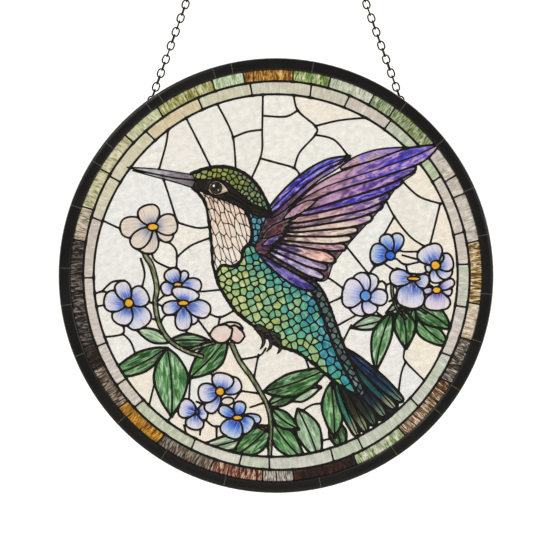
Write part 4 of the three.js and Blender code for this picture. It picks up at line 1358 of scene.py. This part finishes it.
for side_name, side in (("left", -1), ("right", 1)):
    foot = polar(LOOP_PLACE, side * LOOP_SWING)
    loop_top = Vector((foot.x, 0, foot.y + CENTRE_Z / MM))
    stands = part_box("chain_loop_" + side_name)
    middle = [(a + b) / 2 / MM for a, b in zip(*stands)]
    behind = stands[0][1] / MM
    # The staple: a half ring of wire standing on the rim's back.
    staple = []
    reach = (stands[1][1] - stands[0][1]) / MM - LOOP_WIRE / 2
    for step in range(13):
        turn = math.pi * step / 12
        out = Vector((math.cos(math.radians(LOOP_SWING)), 0, -side * math.sin(math.radians(LOOP_SWING))))
        centre = Vector((foot.x, behind, foot.y + CENTRE_Z / MM))
        staple.append(centre + out * LOOP_RADIUS * math.cos(turn) + Vector((0, reach * math.sin(turn), 0)))
    staple_places, staple_faces = wire(staple, LOOP_WIRE / 2, 12, False)
    loop = new_mesh("staple_" + side_name, [p * MM for p in staple_places], (), staple_faces)
    tidy_mesh(loop, 60)
    loop.data.materials.append(CHAIN_BLACK)
    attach(loop, "root")
    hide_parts("chain_loop_" + side_name)

    leg = Vector((middle[0], 6.05, CENTRE_Z / MM + polar(LOOP_PLACE + 2.6, LOOP_SWING).y))
    leg = Vector((side * 86.992, 6.05, CENTRE_Z / MM + 119.7345))
    down = (leg - RING_CENTRE).normalized()
    last = (leg - RING_CENTRE).length + LOOP_WIRE / 2 + LINK_WIRE / 2 + 0.3
    hold = (LINK_LENGTH - LINK_WIRE) / 2
    pitch = (last - FIRST_LINK - 2 * hold) / (LINKS - 1)
    across = Vector((0, 1, 0)).cross(down).normalized()
    facing = across.cross(down)
    places, faces = [], []
    for number in range(LINKS):
        centre = RING_CENTRE + down * (FIRST_LINK + hold + number * pitch)
        lean = math.radians(90 if number % 2 == 0 else 0) + math.radians(luck.uniform(-5, 5))
        wide = across * math.cos(lean) + facing * math.sin(lean)
        thick = wide.cross(down)
        base = len(places)
        places += [(centre + wide * p.x + down * p.y + thick * p.z) * MM for p in link_places]
        faces += [tuple(base + k for k in face) for face in link_faces]
    chain = new_mesh("chain_links_" + side_name, places, (), faces)
    tidy_mesh(chain, 60)
    chain.data.materials.append(CHAIN_BLACK)
    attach(chain, "root")
    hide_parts("chain_" + side_name)

# ---------- the stage, the light and the camera ----------

bpy.ops.mesh.primitive_plane_add(size=5.0, location=(0, 0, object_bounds()[0][2] - 0.6))
floor = bpy.context.object
floor.name = "floor"
FLOOR, tree, shader = surface("pale matt floor")
shader.inputs["Base Color"].default_value = (*linear("#E9E6DF"), 1)
shader.inputs["Roughness"].default_value = 0.9
floor.data.materials.append(FLOOR)

world = bpy.data.worlds.new("soft daylight")
bpy.context.scene.world = world
world.use_nodes = True
background = world.node_tree.nodes["Background"]
# Bright sky behind the panel and a dimmer room before it, as at a window.
sky = world.node_tree
way = node(sky, "ShaderNodeTexCoord").outputs["Generated"]
axes = node(sky, "ShaderNodeSeparateXYZ", i0=way)
level = node(sky, "ShaderNodeMapRange", {1: -0.25, 2: 0.25, 3: 0.38, 4: 1.32}, i0=axes.outputs[1])
sky.links.new(level.outputs[0], background.inputs["Strength"])
background.inputs["Color"].default_value = (*linear("#F6F4EE"), 1)
bpy.context.scene.view_settings.view_transform = "Standard"


def soft_light(name, place, target, size, power, colour="#FFFFFF"):
    lamp = bpy.data.lights.new(name, "AREA")
    lamp.size = size
    lamp.energy = power
    lamp.color = linear(colour)
    thing = bpy.data.objects.new(name, lamp)
    bpy.context.collection.objects.link(thing)
    thing.location = place
    thing.rotation_euler = (Vector(target) - Vector(place)).to_track_quat("-Z", "Y").to_euler()
    return thing


target = (0, 0, CENTRE_Z)
soft_light("key", (-0.9, -1.3, CENTRE_Z + 1.0), target, 0.8, 5)
soft_light("fill", (1.2, -1.2, CENTRE_Z + 0.3), target, 0.6, 2)

camera = bpy.data.cameras.new("camera")
camera.sensor_width = 36
viewer = bpy.data.objects.new("camera", camera)
bpy.context.collection.objects.link(viewer)
bpy.context.scene.camera = viewer
VIEW_WIDTH = 379.5 * MM
DISTANCE = 1.6
camera.lens = 36 * DISTANCE / VIEW_WIDTH
viewer.location = (-0.69 * MM, -DISTANCE, CENTRE_Z + 0.35 * MM)
viewer.rotation_euler = (math.radians(90), 0, 0)
